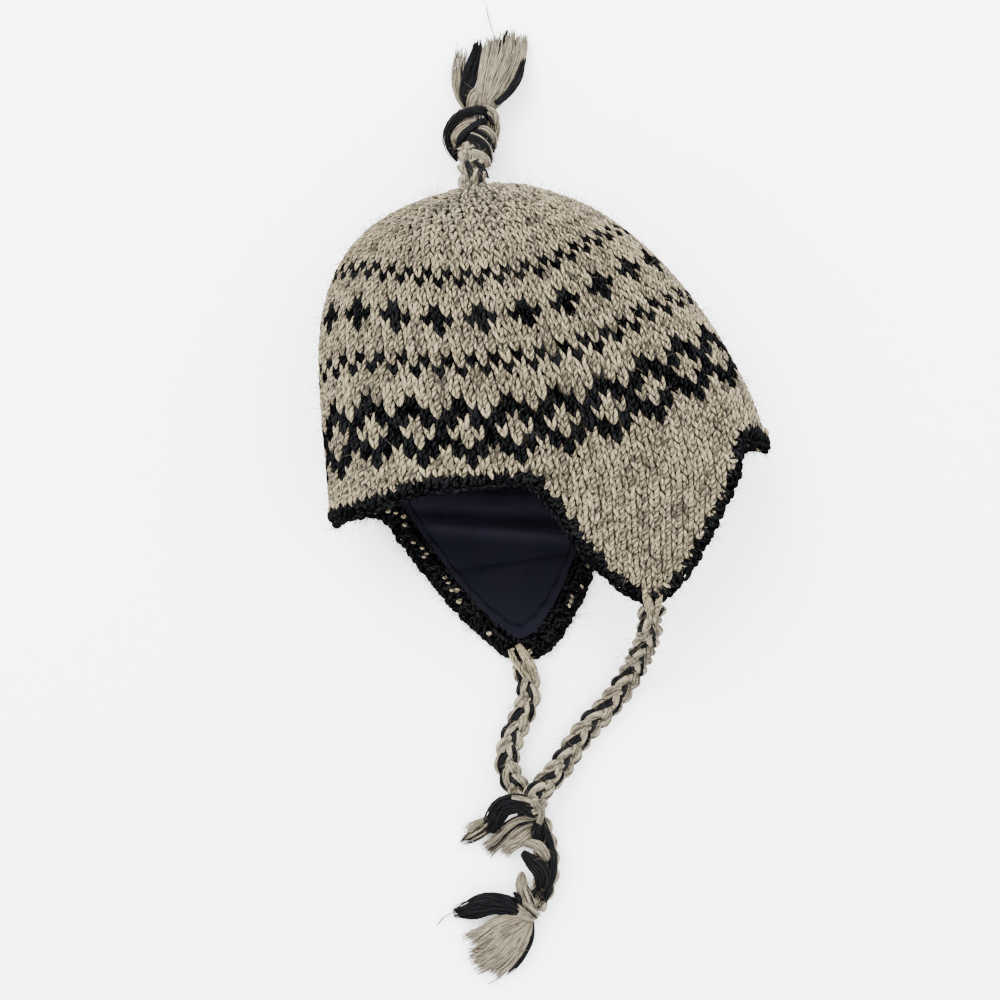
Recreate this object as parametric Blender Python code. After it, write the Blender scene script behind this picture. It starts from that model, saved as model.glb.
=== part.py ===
"""A knitted chullo hat that lies on its side: shell, lining, crocheted edge, two ties and a top braid.

Metres, +Z up. The hat's own plan has x along the rim from forehead to nape, y from the rim to the crown and
z up from the surface it lies on. The whole hat is then turned on that surface and moved so that the
middle of its outline is the origin. A station is the share of the way round the rim: 0 at the forehead fold,
0.5 at the nape fold, the upper side between them first and the lower side after it. A reach is the
distance from the apex along the cloth.
"""
import math
from collections import namedtuple

import bmesh
import bpy
import numpy as np

DEPTH = 0.1515            # from the rim to the apex as it lies
LYING_WIDTH = 0.2205      # from fold to fold at the rim
THICKNESS = 0.086         # from the surface to the top of the upper side
TURN = math.radians(10.35)

CROWN_REACH = 0.1945      # along the cloth from the apex to the knitted edge at the folds
UPPER_FLAP_LENGTH = 0.0700
LOWER_FLAP_LENGTH = 0.0690
UPPER_FLAP_WIDTH = 0.1020
LOWER_FLAP_WIDTH = 0.1040
RIM_LENGTH = 0.518        # the knitted edge all the way round, without the flaps
FLAP_ROOT_BLEND = 0.0070  # how softly a flap runs out into the rim

KNIT_WALL = 0.0045
LINING_WALL = 0.0018
LINING_INSET = 0.0075     # from the knitted edge to the hem of the lining
EDGING_WIDTH = 0.0070
EDGING_THICKNESS = 0.0050
CLEARANCE = 0.0003

TIE_DIAMETER = 0.012
TOP_BRAID_DIAMETER = 0.014
TIE_KNOT_SIZE = 0.0155
TOP_KNOT_SIZE = 0.0225
TIE_TASSEL_LENGTH = 0.036
TOP_TASSEL_LENGTH = 0.041
LOCK_THICKNESS = 0.0095
TOP_KNOT_STRETCH = 1.1    # its length over its width
LEFT_TASSEL_BEARING = 205.0   # degrees in plan from +x
RIGHT_TASSEL_BEARING = 228.0
TOP_TASSEL_BEARING = 82.0

# Cross sections from the apex to beyond the rim. Along is a share of DEPTH from the rim, half width of half
# LYING_WIDTH, lean of LYING_WIDTH, and top, low and fold are heights as shares of THICKNESS.
Section = namedtuple("Section", "along half_width lean top low fold")
SECTIONS = (
    Section(1.000, 0.000, -0.044, 0.430, 0.430, 0.430),
    Section(0.982, 0.225, -0.066, 0.560, 0.300, 0.430),
    Section(0.930, 0.410, -0.078, 0.700, 0.175, 0.435),
    Section(0.845, 0.575, -0.072, 0.820, 0.075, 0.440),
    Section(0.725, 0.705, -0.060, 0.915, 0.018, 0.450),
    Section(0.580, 0.805, -0.043, 0.970, 0.000, 0.460),
    Section(0.400, 0.885, -0.022, 1.000, 0.000, 0.465),
    Section(0.200, 0.945, -0.005, 1.000, 0.000, 0.465),
    Section(0.060, 0.975, 0.000, 0.975, 0.000, 0.465),
    Section(-0.060, 1.010, 0.004, 0.915, 0.000, 0.460),
    Section(-0.250, 1.000, 0.000, 0.770, 0.000, 0.420),
    Section(-0.450, 1.000, 0.000, 0.580, 0.000, 0.360),
    Section(-0.700, 1.000, 0.000, 0.380, 0.000, 0.300),
)
UPPER_ROUNDNESS = 2.2     # exponents of the sections' superellipses
LOWER_ROUNDNESS = 3.0
FLOOR_FLATTENING = 1.05   # how far the lower side is pressed flat by what it lies on

# How far the knitted edge lies from the apex, as a share of CROWN_REACH, by station.
RimPoint = namedtuple("RimPoint", "station reach")
RIM = (
    RimPoint(0.000, 1.050),
    RimPoint(0.060, 1.010),
    RimPoint(0.130, 0.915),
    RimPoint(0.210, 0.868),
    RimPoint(0.300, 0.900),
    RimPoint(0.440, 0.985),
    RimPoint(0.500, 1.055),
    RimPoint(0.600, 0.995),
    RimPoint(0.800, 0.975),
    RimPoint(0.910, 1.005),
    RimPoint(1.000, 1.050),
)
UPPER_FLAP_MIDDLE = 0.338  # stations
LOWER_FLAP_MIDDLE = 0.805
FLAP_POINTEDNESS = 1.55

# The tassels' locks. Bearings are in degrees from the tassel's own direction, length is a share of the
# tassel's length and girth a share of LOCK_THICKNESS.
Lock = namedtuple("Lock", "start_bearing end_bearing length girth")
LEFT_TIE_LOCKS = (
    Lock(-38.0, 28.0, 1.10, 1.00),
    Lock(2.0, 4.0, 1.00, 0.95),
    Lock(34.0, 8.0, 0.85, 0.85),
)
RIGHT_TIE_LOCKS = (
    Lock(-58.0, -25.0, 1.15, 0.95),
    Lock(-2.0, -6.0, 0.90, 1.05),
    Lock(18.0, 10.0, 0.85, 1.05),
    Lock(52.0, -4.0, 0.85, 0.65),
)
TOP_LOCKS = (
    Lock(32.0, 14.0, 0.80, 0.75),
    Lock(38.0, -12.0, 0.92, 0.90),
    Lock(2.0, -4.0, 1.02, 1.00),
    Lock(-16.0, -12.0, 1.10, 1.00),
    Lock(-40.0, 4.0, 0.85, 0.55),
)

# Routes of the braids, chosen by hand: metres in plan from where the braid leaves the hat, which is worked
# out, and the height above the surface.
LEFT_TIE_ROUTE = (
    (-0.0028, -0.0068, 0.0437), (-0.0022, -0.0158, 0.0350),
    (-0.0044, -0.0253, 0.0230), (-0.0067, -0.0333, 0.0135), (-0.0102, -0.0408, 0.0080),
    (-0.0149, -0.0483, 0.0062), (-0.0222, -0.0576, 0.0062),
    (-0.0300, -0.0653, 0.0062), (-0.0367, -0.0741, 0.0062), (-0.0429, -0.0834, 0.0068),
    (-0.0492, -0.0909, 0.0105), (-0.0560, -0.0970, 0.0160), (-0.0596, -0.1010, 0.0190),
)
RIGHT_TIE_ROUTE = (
    (0.0026, -0.0060, 0.0062), (0.0036, -0.0120, 0.0062),
    (0.0032, -0.0190, 0.0062), (0.0002, -0.0278, 0.0062), (-0.0043, -0.0372, 0.0062),
    (-0.0069, -0.0459, 0.0062), (-0.0069, -0.0542, 0.0062), (-0.0038, -0.0619, 0.0062),
    (0.0006, -0.0692, 0.0062), (0.0054, -0.0769, 0.0062), (0.0095, -0.0851, 0.0062),
    (0.0123, -0.0939, 0.0062), (0.0135, -0.1027, 0.0062), (0.0125, -0.1119, 0.0062),
    (0.0094, -0.1197, 0.0066), (0.0066, -0.1245, 0.0070),
)
TOP_BRAID_ROUTE = (
    (-0.0010, 0.0054, 0.0366), (-0.0007, 0.0141, 0.0290), (-0.0004, 0.0231, 0.0180),
    (-0.0016, 0.0291, 0.0145),
)
TIE_STEP = 1.0            # diameters between the points of a braid
TOP_BRAID_STEP = 0.35

STATIONS = 56             # facets round the hat
ROWS = 16                 # and from the apex to the hem of the lining
EDGING_SIDES = 8
FINE = 241                # samples along each worked-out curve

NATURAL = (0.42, 0.37, 0.30)
CHARCOAL = (0.016, 0.016, 0.018)
NAVY = (0.010, 0.010, 0.018)


def smooth_rows(table, count):
    """Read a table as a smooth curve: Catmull-Rom through its rows, with the first row as a rounded pole."""
    rows = np.array(table, float)
    before = 2.0 * rows[0] - rows[1]
    for even in (Section._fields.index("along"), Section._fields.index("lean")):
        before[even] = rows[1][even]
    rows = np.vstack([before, rows, 2.0 * rows[-1] - rows[-2]])
    t = np.linspace(0.0, len(table) - 1.0, count)
    i = np.minimum(t.astype(int), len(table) - 2)
    f = (t - i)[:, None]
    a, b, c, d = rows[i], rows[i + 1], rows[i + 2], rows[i + 3]
    return 0.5 * (2 * b + (c - a) * f + (2 * a - 5 * b + 4 * c - d) * f**2 + (3 * b - a - 3 * c + d) * f**3)


def half_section(centre, half_width, fold, rise, roundness, flattening, way, shares):
    """Points at equal shares of the way along one side of a section, from one fold to the other."""
    angle = np.linspace(0.0, math.pi, FINE)
    across = np.sign(np.cos(angle)) * np.abs(np.cos(angle)) ** (2.0 / roundness)
    out = np.minimum(1.0, flattening * np.abs(np.sin(angle)) ** (2.0 / roundness))
    x = centre - way * half_width * across
    z = fold + rise * out
    along = np.concatenate([[0.0], np.cumsum(np.hypot(np.diff(x), np.diff(z)))])
    at = shares * along[-1]
    return np.interp(at, along, x), np.interp(at, along, z)


class Cloth:
    """The hat's outer surface, as a function of station and reach."""

    def __init__(self):
        rows = smooth_rows(SECTIONS, FINE)
        self.stations = np.linspace(0.0, 1.0, FINE)
        upper = self.stations <= 0.5
        x = np.empty((FINE, FINE))
        z = np.empty((FINE, FINE))
        for j, row in enumerate(Section(*values) for values in rows):
            centre = row.lean * LYING_WIDTH
            half = max(row.half_width, 0.0) * LYING_WIDTH / 2.0
            fold = row.fold * THICKNESS
            x[upper, j], z[upper, j] = half_section(
                centre, half, fold, row.top * THICKNESS - fold, UPPER_ROUNDNESS, 1.0, 1.0,
                self.stations[upper] * 2.0)
            x[~upper, j], z[~upper, j] = half_section(
                centre, half, fold, max(row.low, 0.0) * THICKNESS - fold, LOWER_ROUNDNESS, FLOOR_FLATTENING,
                -1.0, self.stations[~upper] * 2.0 - 1.0)
        y = np.broadcast_to(rows[:, 0] * DEPTH, x.shape)
        self.points = np.stack([x, y, z], axis=2)
        step = np.linalg.norm(np.diff(self.points, axis=1), axis=2)
        self.reach = np.concatenate([np.zeros((FINE, 1)), np.cumsum(step, axis=1)], axis=1)

    def at(self, station, reach):
        """The points at these stations and reaches."""
        station, reach = np.broadcast_arrays(np.asarray(station, float) % 1.0, reach)
        column = station * (FINE - 1)
        i = np.minimum(column.astype(int), FINE - 2)
        f = (column - i)[..., None]
        found = [np.empty(station.shape + (3,)) for _ in range(2)]
        for side in range(2):
            for place in np.ndindex(station.shape):
                line = i[place] + side
                for axis in range(3):
                    found[side][place][axis] = np.interp(
                        reach[place], self.reach[line], self.points[line, :, axis])
        return found[0] * (1.0 - f) + found[1] * f

    def normal(self, station, reach):
        """Unit vectors out of the cloth."""
        d_station, d_reach = 0.004, 0.0015
        near = np.maximum(reach - d_reach, 0.0)
        round_it = self.at(station + d_station, reach) - self.at(station - d_station, reach)
        along = self.at(station, near + 2.0 * d_reach) - self.at(station, near)
        out = np.cross(along, round_it)
        return out / np.linalg.norm(out, axis=-1, keepdims=True)


def flap(station, middle, width, length):
    """How far a flap reaches beyond the rim: a rounded point, pointed by its exponent."""
    off = np.abs((station - middle + 0.5) % 1.0 - 0.5) * RIM_LENGTH / (width / 2.0)
    return length * np.maximum(1.0 - off**FLAP_POINTEDNESS, 0.0)


def edge_reach(station):
    """The reach of the knitted edge, flaps included, with the flaps' roots blended into the rim."""
    known = [point.station for point in RIM]
    lengths = [point.reach for point in RIM]
    spread = np.linspace(-1.0, 1.0, 9) * FLAP_ROOT_BLEND / RIM_LENGTH
    weight = 1.0 - np.linspace(-1.0, 1.0, 9) ** 2 + 0.1
    total = np.zeros(np.shape(station))
    for shift, share in zip(spread, weight / weight.sum()):
        at = (np.asarray(station) + shift) % 1.0
        reach = CROWN_REACH * np.interp(at, known, lengths)
        reach = reach + flap(at, UPPER_FLAP_MIDDLE, UPPER_FLAP_WIDTH, UPPER_FLAP_LENGTH)
        reach = reach + flap(at, LOWER_FLAP_MIDDLE, LOWER_FLAP_WIDTH, LOWER_FLAP_LENGTH)
        total = total + share * reach
    return total


def inset_reach(station, inset):
    """The edge moved in by an even distance: the nearest edge points push it back like discs."""
    offsets = np.linspace(-0.999, 0.999, 61) * inset
    around = np.asarray(station)[:, None] + offsets / RIM_LENGTH
    return (edge_reach(around) - np.sqrt(inset**2 - offsets**2)).min(axis=1)


def facet_stations():
    """Stations of the facets, closer together on the flaps and at the folds."""
    fine = np.linspace(0.0, 1.0, 2001)
    slope = np.abs(np.gradient(edge_reach(fine), fine)) / RIM_LENGTH
    fold = np.exp(-((np.abs((fine - 0.5 + 0.25) % 0.5 - 0.25)) / 0.03) ** 2)
    weight = 1.0 + 0.45 * slope + 0.8 * fold
    total = np.concatenate([[0.0], np.cumsum((weight[1:] + weight[:-1]) / 2.0)])
    stations = np.interp(np.arange(STATIONS) / STATIONS * total[-1], total, fine)
    for middle in (UPPER_FLAP_MIDDLE, LOWER_FLAP_MIDDLE):
        stations[np.abs(stations - middle).argmin()] = middle
    return stations


def new_object(name, vertices, faces, colour, roughness):
    """A closed, smooth-shaded object with its own material, its faces pointing out."""
    mesh = bpy.data.meshes.new(name)
    mesh.from_pydata([tuple(v) for v in np.asarray(vertices, float)], [], faces)
    work = bmesh.new()
    work.from_mesh(mesh)
    bmesh.ops.recalc_face_normals(work, faces=work.faces)
    if work.calc_volume(signed=True) < 0.0:
        bmesh.ops.reverse_faces(work, faces=work.faces)
    work.to_mesh(mesh)
    work.free()
    mesh.shade_smooth()
    made = bpy.data.objects.new(name, mesh)
    bpy.context.collection.objects.link(made)
    dress(made, colour, roughness)
    return made


def dress(made, colour, roughness):
    """Give an object its own plain wool or fleece material."""
    material = bpy.data.materials.new(made.name)
    material.use_nodes = True
    shader = material.node_tree.nodes["Principled BSDF"]
    shader.inputs["Base Color"].default_value = (*colour, 1.0)
    shader.inputs["Roughness"].default_value = roughness
    shader.inputs["Metallic"].default_value = 0.0
    made.data.materials.append(material)


def walled(outer, inner, outer_pole, inner_pole):
    """A cup between two grids of points, each with a pole, joined round the mouth."""
    rounds, rows = outer.shape[:2]
    vertices = [outer_pole, inner_pole]
    vertices += list(outer.reshape(-1, 3)) + list(inner.reshape(-1, 3))
    faces = []

    def index(layer, i, j):
        return 2 + layer * rounds * rows + (i % rounds) * rows + j

    for i in range(rounds):
        for layer in range(2):
            faces.append((layer, index(layer, i, 0), index(layer, i + 1, 0)))
            for j in range(rows - 1):
                a, b = index(layer, i, j), index(layer, i, j + 1)
                c, d = index(layer, i + 1, j + 1), index(layer, i + 1, j)
                faces += [(a, b, c), (a, c, d)]
        last = rows - 1
        faces.append((index(0, i, last), index(1, i, last), index(1, i + 1, last), index(0, i + 1, last)))
    return vertices, faces


def cup(cloth, name, stations, reach, depth_out, depth_in, colour, roughness):
    """A layer of the hat between two depths inside the outer surface, with a row of points at each reach."""
    station = np.repeat(stations[:, None], reach.shape[1], axis=1)
    surface, normal = cloth.at(station, reach), cloth.normal(station, reach)
    pole = cloth.at(0.0, 0.0)
    pole_normal = np.array([0.0, 1.0, 0.0])
    vertices, faces = walled(
        surface - depth_out * normal, surface - depth_in * normal,
        pole - depth_out * pole_normal, pole - depth_in * pole_normal)
    return new_object(name, vertices, faces, colour, roughness)


def edging_path(cloth, stations):
    """The edging's centres, with the directions out of the cloth and away from the edge."""
    reach = edge_reach(stations)
    edge, normal = cloth.at(stations, reach), cloth.normal(stations, reach)
    step = 0.002
    along = (cloth.at(stations + step, edge_reach(stations + step))
             - cloth.at(stations - step, edge_reach(stations - step)))
    away = np.cross(along, normal)
    away /= np.linalg.norm(away, axis=1, keepdims=True)
    centre = edge + away * (CLEARANCE + EDGING_WIDTH / 2.0) - normal * EDGING_THICKNESS / 2.0
    return centre, normal, away


def edging(cloth, stations):
    """The crocheted band: an oval section carried along the whole knitted edge."""
    centre, normal, away = edging_path(cloth, stations)
    turn = (np.arange(EDGING_SIDES) + 0.5) * 2.0 * math.pi / EDGING_SIDES
    fit = 1.0 / math.cos(math.pi / EDGING_SIDES)
    rings = (centre[:, None]
             + away[:, None] * np.cos(turn)[None, :, None] * EDGING_WIDTH / 2.0
             + normal[:, None] * np.sin(turn)[None, :, None] * EDGING_THICKNESS / 2.0 * fit)
    count = len(stations)
    faces = []
    for i in range(count):
        for j in range(EDGING_SIDES):
            a, b = i * EDGING_SIDES, (i + 1) % count * EDGING_SIDES
            k = (j + 1) % EDGING_SIDES
            faces.append((a + j, a + k, b + k, b + j))
    return new_object("crochet_edging", rings.reshape(-1, 3), faces, CHARCOAL, 0.95)


def flap_tip(cloth, middle):
    """Where a tie meets the edging at a flap's tip, on the turned hat, at the height that its braid needs."""
    centre, _, away = edging_path(cloth, np.array([middle - 0.0005, middle, middle + 0.0005]))
    tip = centre[1] + away[1] * (EDGING_WIDTH / 2.0 + CLEARANCE)
    tip = placed(tip[None], (0.0, 0.0, 0.0), TURN)[0]
    tip[2] = max(tip[2], TIE_DIAMETER / 2.0 + CLEARANCE)
    return tuple(tip)


def crown_tip(cloth):
    """Where the top braid meets the crown's apex, on the turned hat."""
    tip = cloth.at(0.0, 0.0) + np.array([0.0, 2.0 * CLEARANCE, 0.0])
    return tuple(placed(tip[None], (0.0, 0.0, 0.0), TURN)[0])


def route_from(start, offsets):
    """A route's points, from its start and its plan offsets from there."""
    return (start, *((start[0] + x, start[1] + y, z) for x, y, z in offsets))


def smooth_route(route, step):
    """Points at even steps along a smooth curve through a route's own points."""
    points = np.array(route)
    rows = np.vstack([2 * points[0] - points[1], points, 2 * points[-1] - points[-2]])
    t = np.linspace(0.0, len(points) - 1.0, FINE)
    i = np.minimum(t.astype(int), len(points) - 2)
    f = (t - i)[:, None]
    a, b, c, d = rows[i], rows[i + 1], rows[i + 2], rows[i + 3]
    fine = 0.5 * (2 * b + (c - a) * f + (2 * a - 5 * b + 4 * c - d) * f**2 + (3 * b - a - 3 * c + d) * f**3)
    along = np.concatenate([[0.0], np.cumsum(np.linalg.norm(np.diff(fine, axis=0), axis=1))])
    at = np.linspace(0.0, along[-1], max(4, round(along[-1] / step) + 1))
    return np.stack([np.interp(at, along, fine[:, k]) for k in range(3)], axis=1)


def braid(name, route, diameter, step):
    """A braid's outer tube along its route, with points a step apart, in diameters."""
    points = smooth_route(route, step * diameter)
    curve = bpy.data.curves.new(name, "CURVE")
    curve.dimensions = "3D"
    curve.bevel_depth = diameter / 2.0
    curve.bevel_resolution = 3
    curve.use_fill_caps = True
    spline = curve.splines.new("POLY")
    spline.points.add(len(points) - 1)
    for place, point in zip(spline.points, points):
        place.co = (*point, 1.0)
    made = bpy.data.objects.new(name, curve)
    bpy.context.collection.objects.link(made)
    dress(made, NATURAL, 0.95)
    return made, points


def knot(name, centre, heading, size, stretch):
    """A lumpy ball of wound yarn, longer along its heading and flattened by its own weight."""
    rings, sides = 8, 12
    vertices = []
    for i in range(1, rings):
        up = math.pi * i / rings
        for j in range(sides):
            turn = 2.0 * math.pi * j / sides
            bulge = 1.0 + 0.05 * math.cos(3.0 * turn + 2.0 * up)
            along = size / 2.0 * stretch * math.cos(up)
            across = size / 2.0 * bulge * math.sin(up) * math.cos(turn)
            high = size * 0.45 * math.sin(up) * math.sin(turn)
            vertices.append((along, across, high))
    vertices += [(size / 2.0 * stretch, 0.0, 0.0), (-size / 2.0 * stretch, 0.0, 0.0)]
    first, last = len(vertices) - 2, len(vertices) - 1
    faces = []
    for j in range(sides):
        k = (j + 1) % sides
        faces.append((first, j, k))
        faces.append((last, (rings - 2) * sides + k, (rings - 2) * sides + j))
        for i in range(rings - 2):
            faces.append((i * sides + j, (i + 1) * sides + j, (i + 1) * sides + k, i * sides + k))
    turned = placed(np.array(vertices), centre, heading)
    return new_object(name, turned, faces, CHARCOAL, 0.95)


def placed(points, centre, heading):
    """Points turned to a heading in plan and moved to a centre."""
    c, s = math.cos(heading), math.sin(heading)
    turned = np.stack([points[:, 0] * c - points[:, 1] * s, points[:, 0] * s + points[:, 1] * c,
                       points[:, 2]], axis=1)
    return turned + np.asarray(centre)


def lock(centre, heading, row, length):
    """One lock of a tassel: a tapered tube that bends in plan and comes down to lie on the surface."""
    sides, rings = 7, 8
    u = np.linspace(0.0, 1.0, rings)
    bearing = heading + np.radians(row.start_bearing + (row.end_bearing - row.start_bearing) * u)
    step = row.length * length / (rings - 1)
    plan = np.cumsum(np.stack([np.cos(bearing), np.sin(bearing)], axis=1) * step, axis=0)
    plan -= plan[0]
    radius = row.girth * LOCK_THICKNESS / 2.0 * (0.62 + 0.38 * np.sin(math.pi * u**0.8)) * (1.0 - 0.55 * u**4)
    height = radius + (centre[2] - radius) * (1.0 - u) ** 1.6
    middle = np.stack([centre[0] + plan[:, 0], centre[1] + plan[:, 1], height], axis=1)
    ahead = np.gradient(middle, axis=0)
    ahead /= np.linalg.norm(ahead, axis=1, keepdims=True)
    side = np.cross(ahead, (0.0, 0.0, 1.0))
    side /= np.linalg.norm(side, axis=1, keepdims=True)
    up = np.cross(side, ahead)
    turn = np.arange(sides) * 2.0 * math.pi / sides
    rings_at = (middle[:, None] + radius[:, None, None]
                * (side[:, None] * np.cos(turn)[None, :, None] + up[:, None] * np.sin(turn)[None, :, None]))
    vertices = rings_at.reshape(-1, 3)
    vertices[:, 2] = np.maximum(vertices[:, 2], 0.0)
    faces = [tuple(range(sides)), tuple((rings - 1) * sides + j for j in reversed(range(sides)))]
    for i in range(rings - 1):
        for j in range(sides):
            k = (j + 1) % sides
            faces.append((i * sides + j, i * sides + k, (i + 1) * sides + k, (i + 1) * sides + j))
    return vertices, faces


def tassel(name, centre, heading, locks, length):
    """A tassel: its locks fused to a small head."""
    head_size = LOCK_THICKNESS * 1.15
    made = [knot(name, centre, heading, head_size, 1.1)]
    for row in locks:
        vertices, faces = lock(centre, heading, row, length)
        piece = new_object(name + "_lock", vertices, faces, NATURAL, 0.95)
        joined = made[0].modifiers.new("lock", "BOOLEAN")
        joined.operation = "UNION"
        joined.solver = "EXACT"
        joined.object = piece
        piece.hide_render = True
        piece.display_type = "WIRE"
        made.append(piece)
    return made


def beyond(points, distance):
    """The place this far past the end of a line of points."""
    ahead = points[-1] - points[-2]
    return points[-1] + ahead / np.linalg.norm(ahead) * distance


def heading_of(points):
    """The heading in plan of the last stretch of a line of points."""
    ahead = points[-1] - points[-2]
    return math.atan2(ahead[1], ahead[0])


def finished_end(name, points, size, stretch, bearing, locks, length):
    """The knot at a braid's end and the tassel beyond it, which points its own way."""
    knot_centre = beyond(points, size / 2.0 * stretch + CLEARANCE)
    knot_centre[2] = max(knot_centre[2], size * 0.45)
    heading = heading_of(points)
    ball = knot(name + "_knot", knot_centre, heading, size, stretch)
    away = math.radians(bearing)
    room = size / 2.0 * stretch + LOCK_THICKNESS * 0.65 + CLEARANCE
    start = knot_centre + room * np.array([math.cos(away), math.sin(away), 0.0])
    start[2] = max(start[2] * 0.9, LOCK_THICKNESS * 0.6)
    return [ball, *tassel(name + "_tassel", start, away, locks, length)]


def turned_hat(made):
    """Turn the hat's own pieces on the surface they lie on."""
    for piece in made:
        points = np.empty(len(piece.data.vertices) * 3)
        piece.data.vertices.foreach_get("co", points)
        turned = placed(points.reshape(-1, 3), (0.0, 0.0, 0.0), TURN)
        piece.data.vertices.foreach_set("co", turned.ravel())
        piece.data.update()


def outline(made):
    """The lowest and highest plan corners of these objects."""
    corners = []
    for piece in made:
        if piece.type == "CURVE":
            points = np.array([place.co[:3] for place in piece.data.splines[0].points])
        else:
            points = np.empty(len(piece.data.vertices) * 3)
            piece.data.vertices.foreach_get("co", points)
            points = points.reshape(-1, 3)
        corners += [points.min(axis=0), points.max(axis=0)]
    return np.min(corners, axis=0), np.max(corners, axis=0)


def centre_on_origin(hat):
    """Move everything in plan so that the middle of the hat's outline, ties apart, is the origin."""
    low, high = outline(hat)
    middle = (low + high) / 2.0
    for piece in bpy.data.objects:
        piece.location = (-middle[0], -middle[1], 0.0)


def main():
    """Build the hat, its edge and its braids."""
    for old in list(bpy.data.objects):
        bpy.data.objects.remove(old)
    cloth = Cloth()
    stations = facet_stations()
    hem = inset_reach(stations, LINING_INSET)
    lined = hem[:, None] * (np.arange(1, ROWS + 1) / ROWS)[None, :] ** 0.9
    whole = np.hstack([lined, edge_reach(stations)[:, None]])
    inside = KNIT_WALL + CLEARANCE
    shell = cup(cloth, "knit_shell", stations, whole, 0.0, KNIT_WALL, NATURAL, 0.95)
    lining = cup(cloth, "fleece_lining", stations, lined, inside, inside + LINING_WALL, NAVY, 0.9)
    band = edging(cloth, stations)
    turned_hat([shell, lining, band])

    route = route_from(flap_tip(cloth, UPPER_FLAP_MIDDLE), LEFT_TIE_ROUTE)
    _, left = braid("left_tie_braid", route, TIE_DIAMETER, TIE_STEP)
    finished_end("left_tie", left, TIE_KNOT_SIZE, 1.0, LEFT_TASSEL_BEARING, LEFT_TIE_LOCKS,
                 TIE_TASSEL_LENGTH)
    route = route_from(flap_tip(cloth, LOWER_FLAP_MIDDLE), RIGHT_TIE_ROUTE)
    _, right = braid("right_tie_braid", route, TIE_DIAMETER, TIE_STEP)
    finished_end("right_tie", right, TIE_KNOT_SIZE, 1.0, RIGHT_TASSEL_BEARING, RIGHT_TIE_LOCKS,
                 TIE_TASSEL_LENGTH)
    route = route_from(crown_tip(cloth), TOP_BRAID_ROUTE)
    plait, top = braid("top_braid", route, TOP_BRAID_DIAMETER, TOP_BRAID_STEP)
    ends = finished_end("top", top, TOP_KNOT_SIZE, TOP_KNOT_STRETCH, TOP_TASSEL_BEARING, TOP_LOCKS,
                        TOP_TASSEL_LENGTH)
    centre_on_origin([shell, band, plait, *ends])


if __name__ == "__main__":
    main()
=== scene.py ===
"""The looks of a knitted chullo hat that lies on its side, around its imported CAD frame.

Metres, +Z up, in the frame's own axes. The hat's cloth is a function of two numbers: a station, which is
the share of the way round the rim from the forehead fold, and a reach, which is the distance along the
cloth from the crown's apex. Every knitted stitch, crochet loop and yarn is a tube carried along a path on
that cloth or along a braid's route.
"""

import logging
import math
from dataclasses import dataclass, field
from enum import Enum

import bpy
import numpy as np
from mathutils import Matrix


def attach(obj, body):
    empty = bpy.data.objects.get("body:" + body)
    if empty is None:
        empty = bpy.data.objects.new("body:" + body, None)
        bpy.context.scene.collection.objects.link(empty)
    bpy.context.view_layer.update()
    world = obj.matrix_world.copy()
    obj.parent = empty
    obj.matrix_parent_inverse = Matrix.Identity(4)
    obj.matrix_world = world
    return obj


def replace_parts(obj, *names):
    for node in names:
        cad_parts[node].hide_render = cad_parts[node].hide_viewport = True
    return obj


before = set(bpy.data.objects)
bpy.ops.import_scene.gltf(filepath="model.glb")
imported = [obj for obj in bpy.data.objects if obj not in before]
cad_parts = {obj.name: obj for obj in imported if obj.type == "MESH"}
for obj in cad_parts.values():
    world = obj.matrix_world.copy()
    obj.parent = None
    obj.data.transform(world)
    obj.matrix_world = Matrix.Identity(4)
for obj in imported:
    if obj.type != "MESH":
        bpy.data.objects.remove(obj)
log = logging.getLogger("chullo")

Array = np.ndarray
Colour = tuple[float, float, float]
Point = tuple[float, float, float]

TURN = math.radians(10.35)             # how the hat is turned on the surface it lies on
RIM_MIDDLE = (0.00167, -0.07914)      # the middle of the rim, in the frame
CLEARANCE = 0.0003
TENTHS = 1e4                          # tenths of a millimetre in a metre


class Yarn(Enum):
    """The two yarns, as material places on a piece that holds both."""

    NATURAL = 0
    CHARCOAL = 1


# --- whole-array geometry ---------------------------------------------------------------------------


def unit(vectors: Array) -> Array:
    """Give each vector a length of one."""
    return vectors / np.maximum(np.linalg.norm(vectors, axis=-1, keepdims=True), 1e-12)


def even_steps(lines: Array, count: int, length: float | None = None) -> Array:
    """Read each broken line at even steps of its own length.

    All lines are laid one after another on a single long scale, so that one interpolation serves them all.

    Args:
        lines: the lines' points, [line, point, axis].
        count: how many points each line gets.
        length: the length that is read, or the line's own whole length.

    Returns:
        The new points, [line, count, axis].
    """
    steps = np.linalg.norm(np.diff(lines, axis=1), axis=2)
    along = np.concatenate([np.zeros((len(lines), 1)), np.cumsum(steps, axis=1)], axis=1)
    whole = along[:, -1:] if length is None else np.full((len(lines), 1), length)
    at = np.minimum(whole * np.linspace(0.0, 1.0, count), along[:, -1:])
    shift = (2.0 * along.max() + 1.0) * np.arange(len(lines))[:, None]
    places, scale = (at + shift).ravel(), (along + shift).ravel()
    read = [np.interp(places, scale, lines[..., axis].ravel()) for axis in range(lines.shape[2])]
    return np.stack(read, axis=1).reshape(*at.shape, -1)


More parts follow.
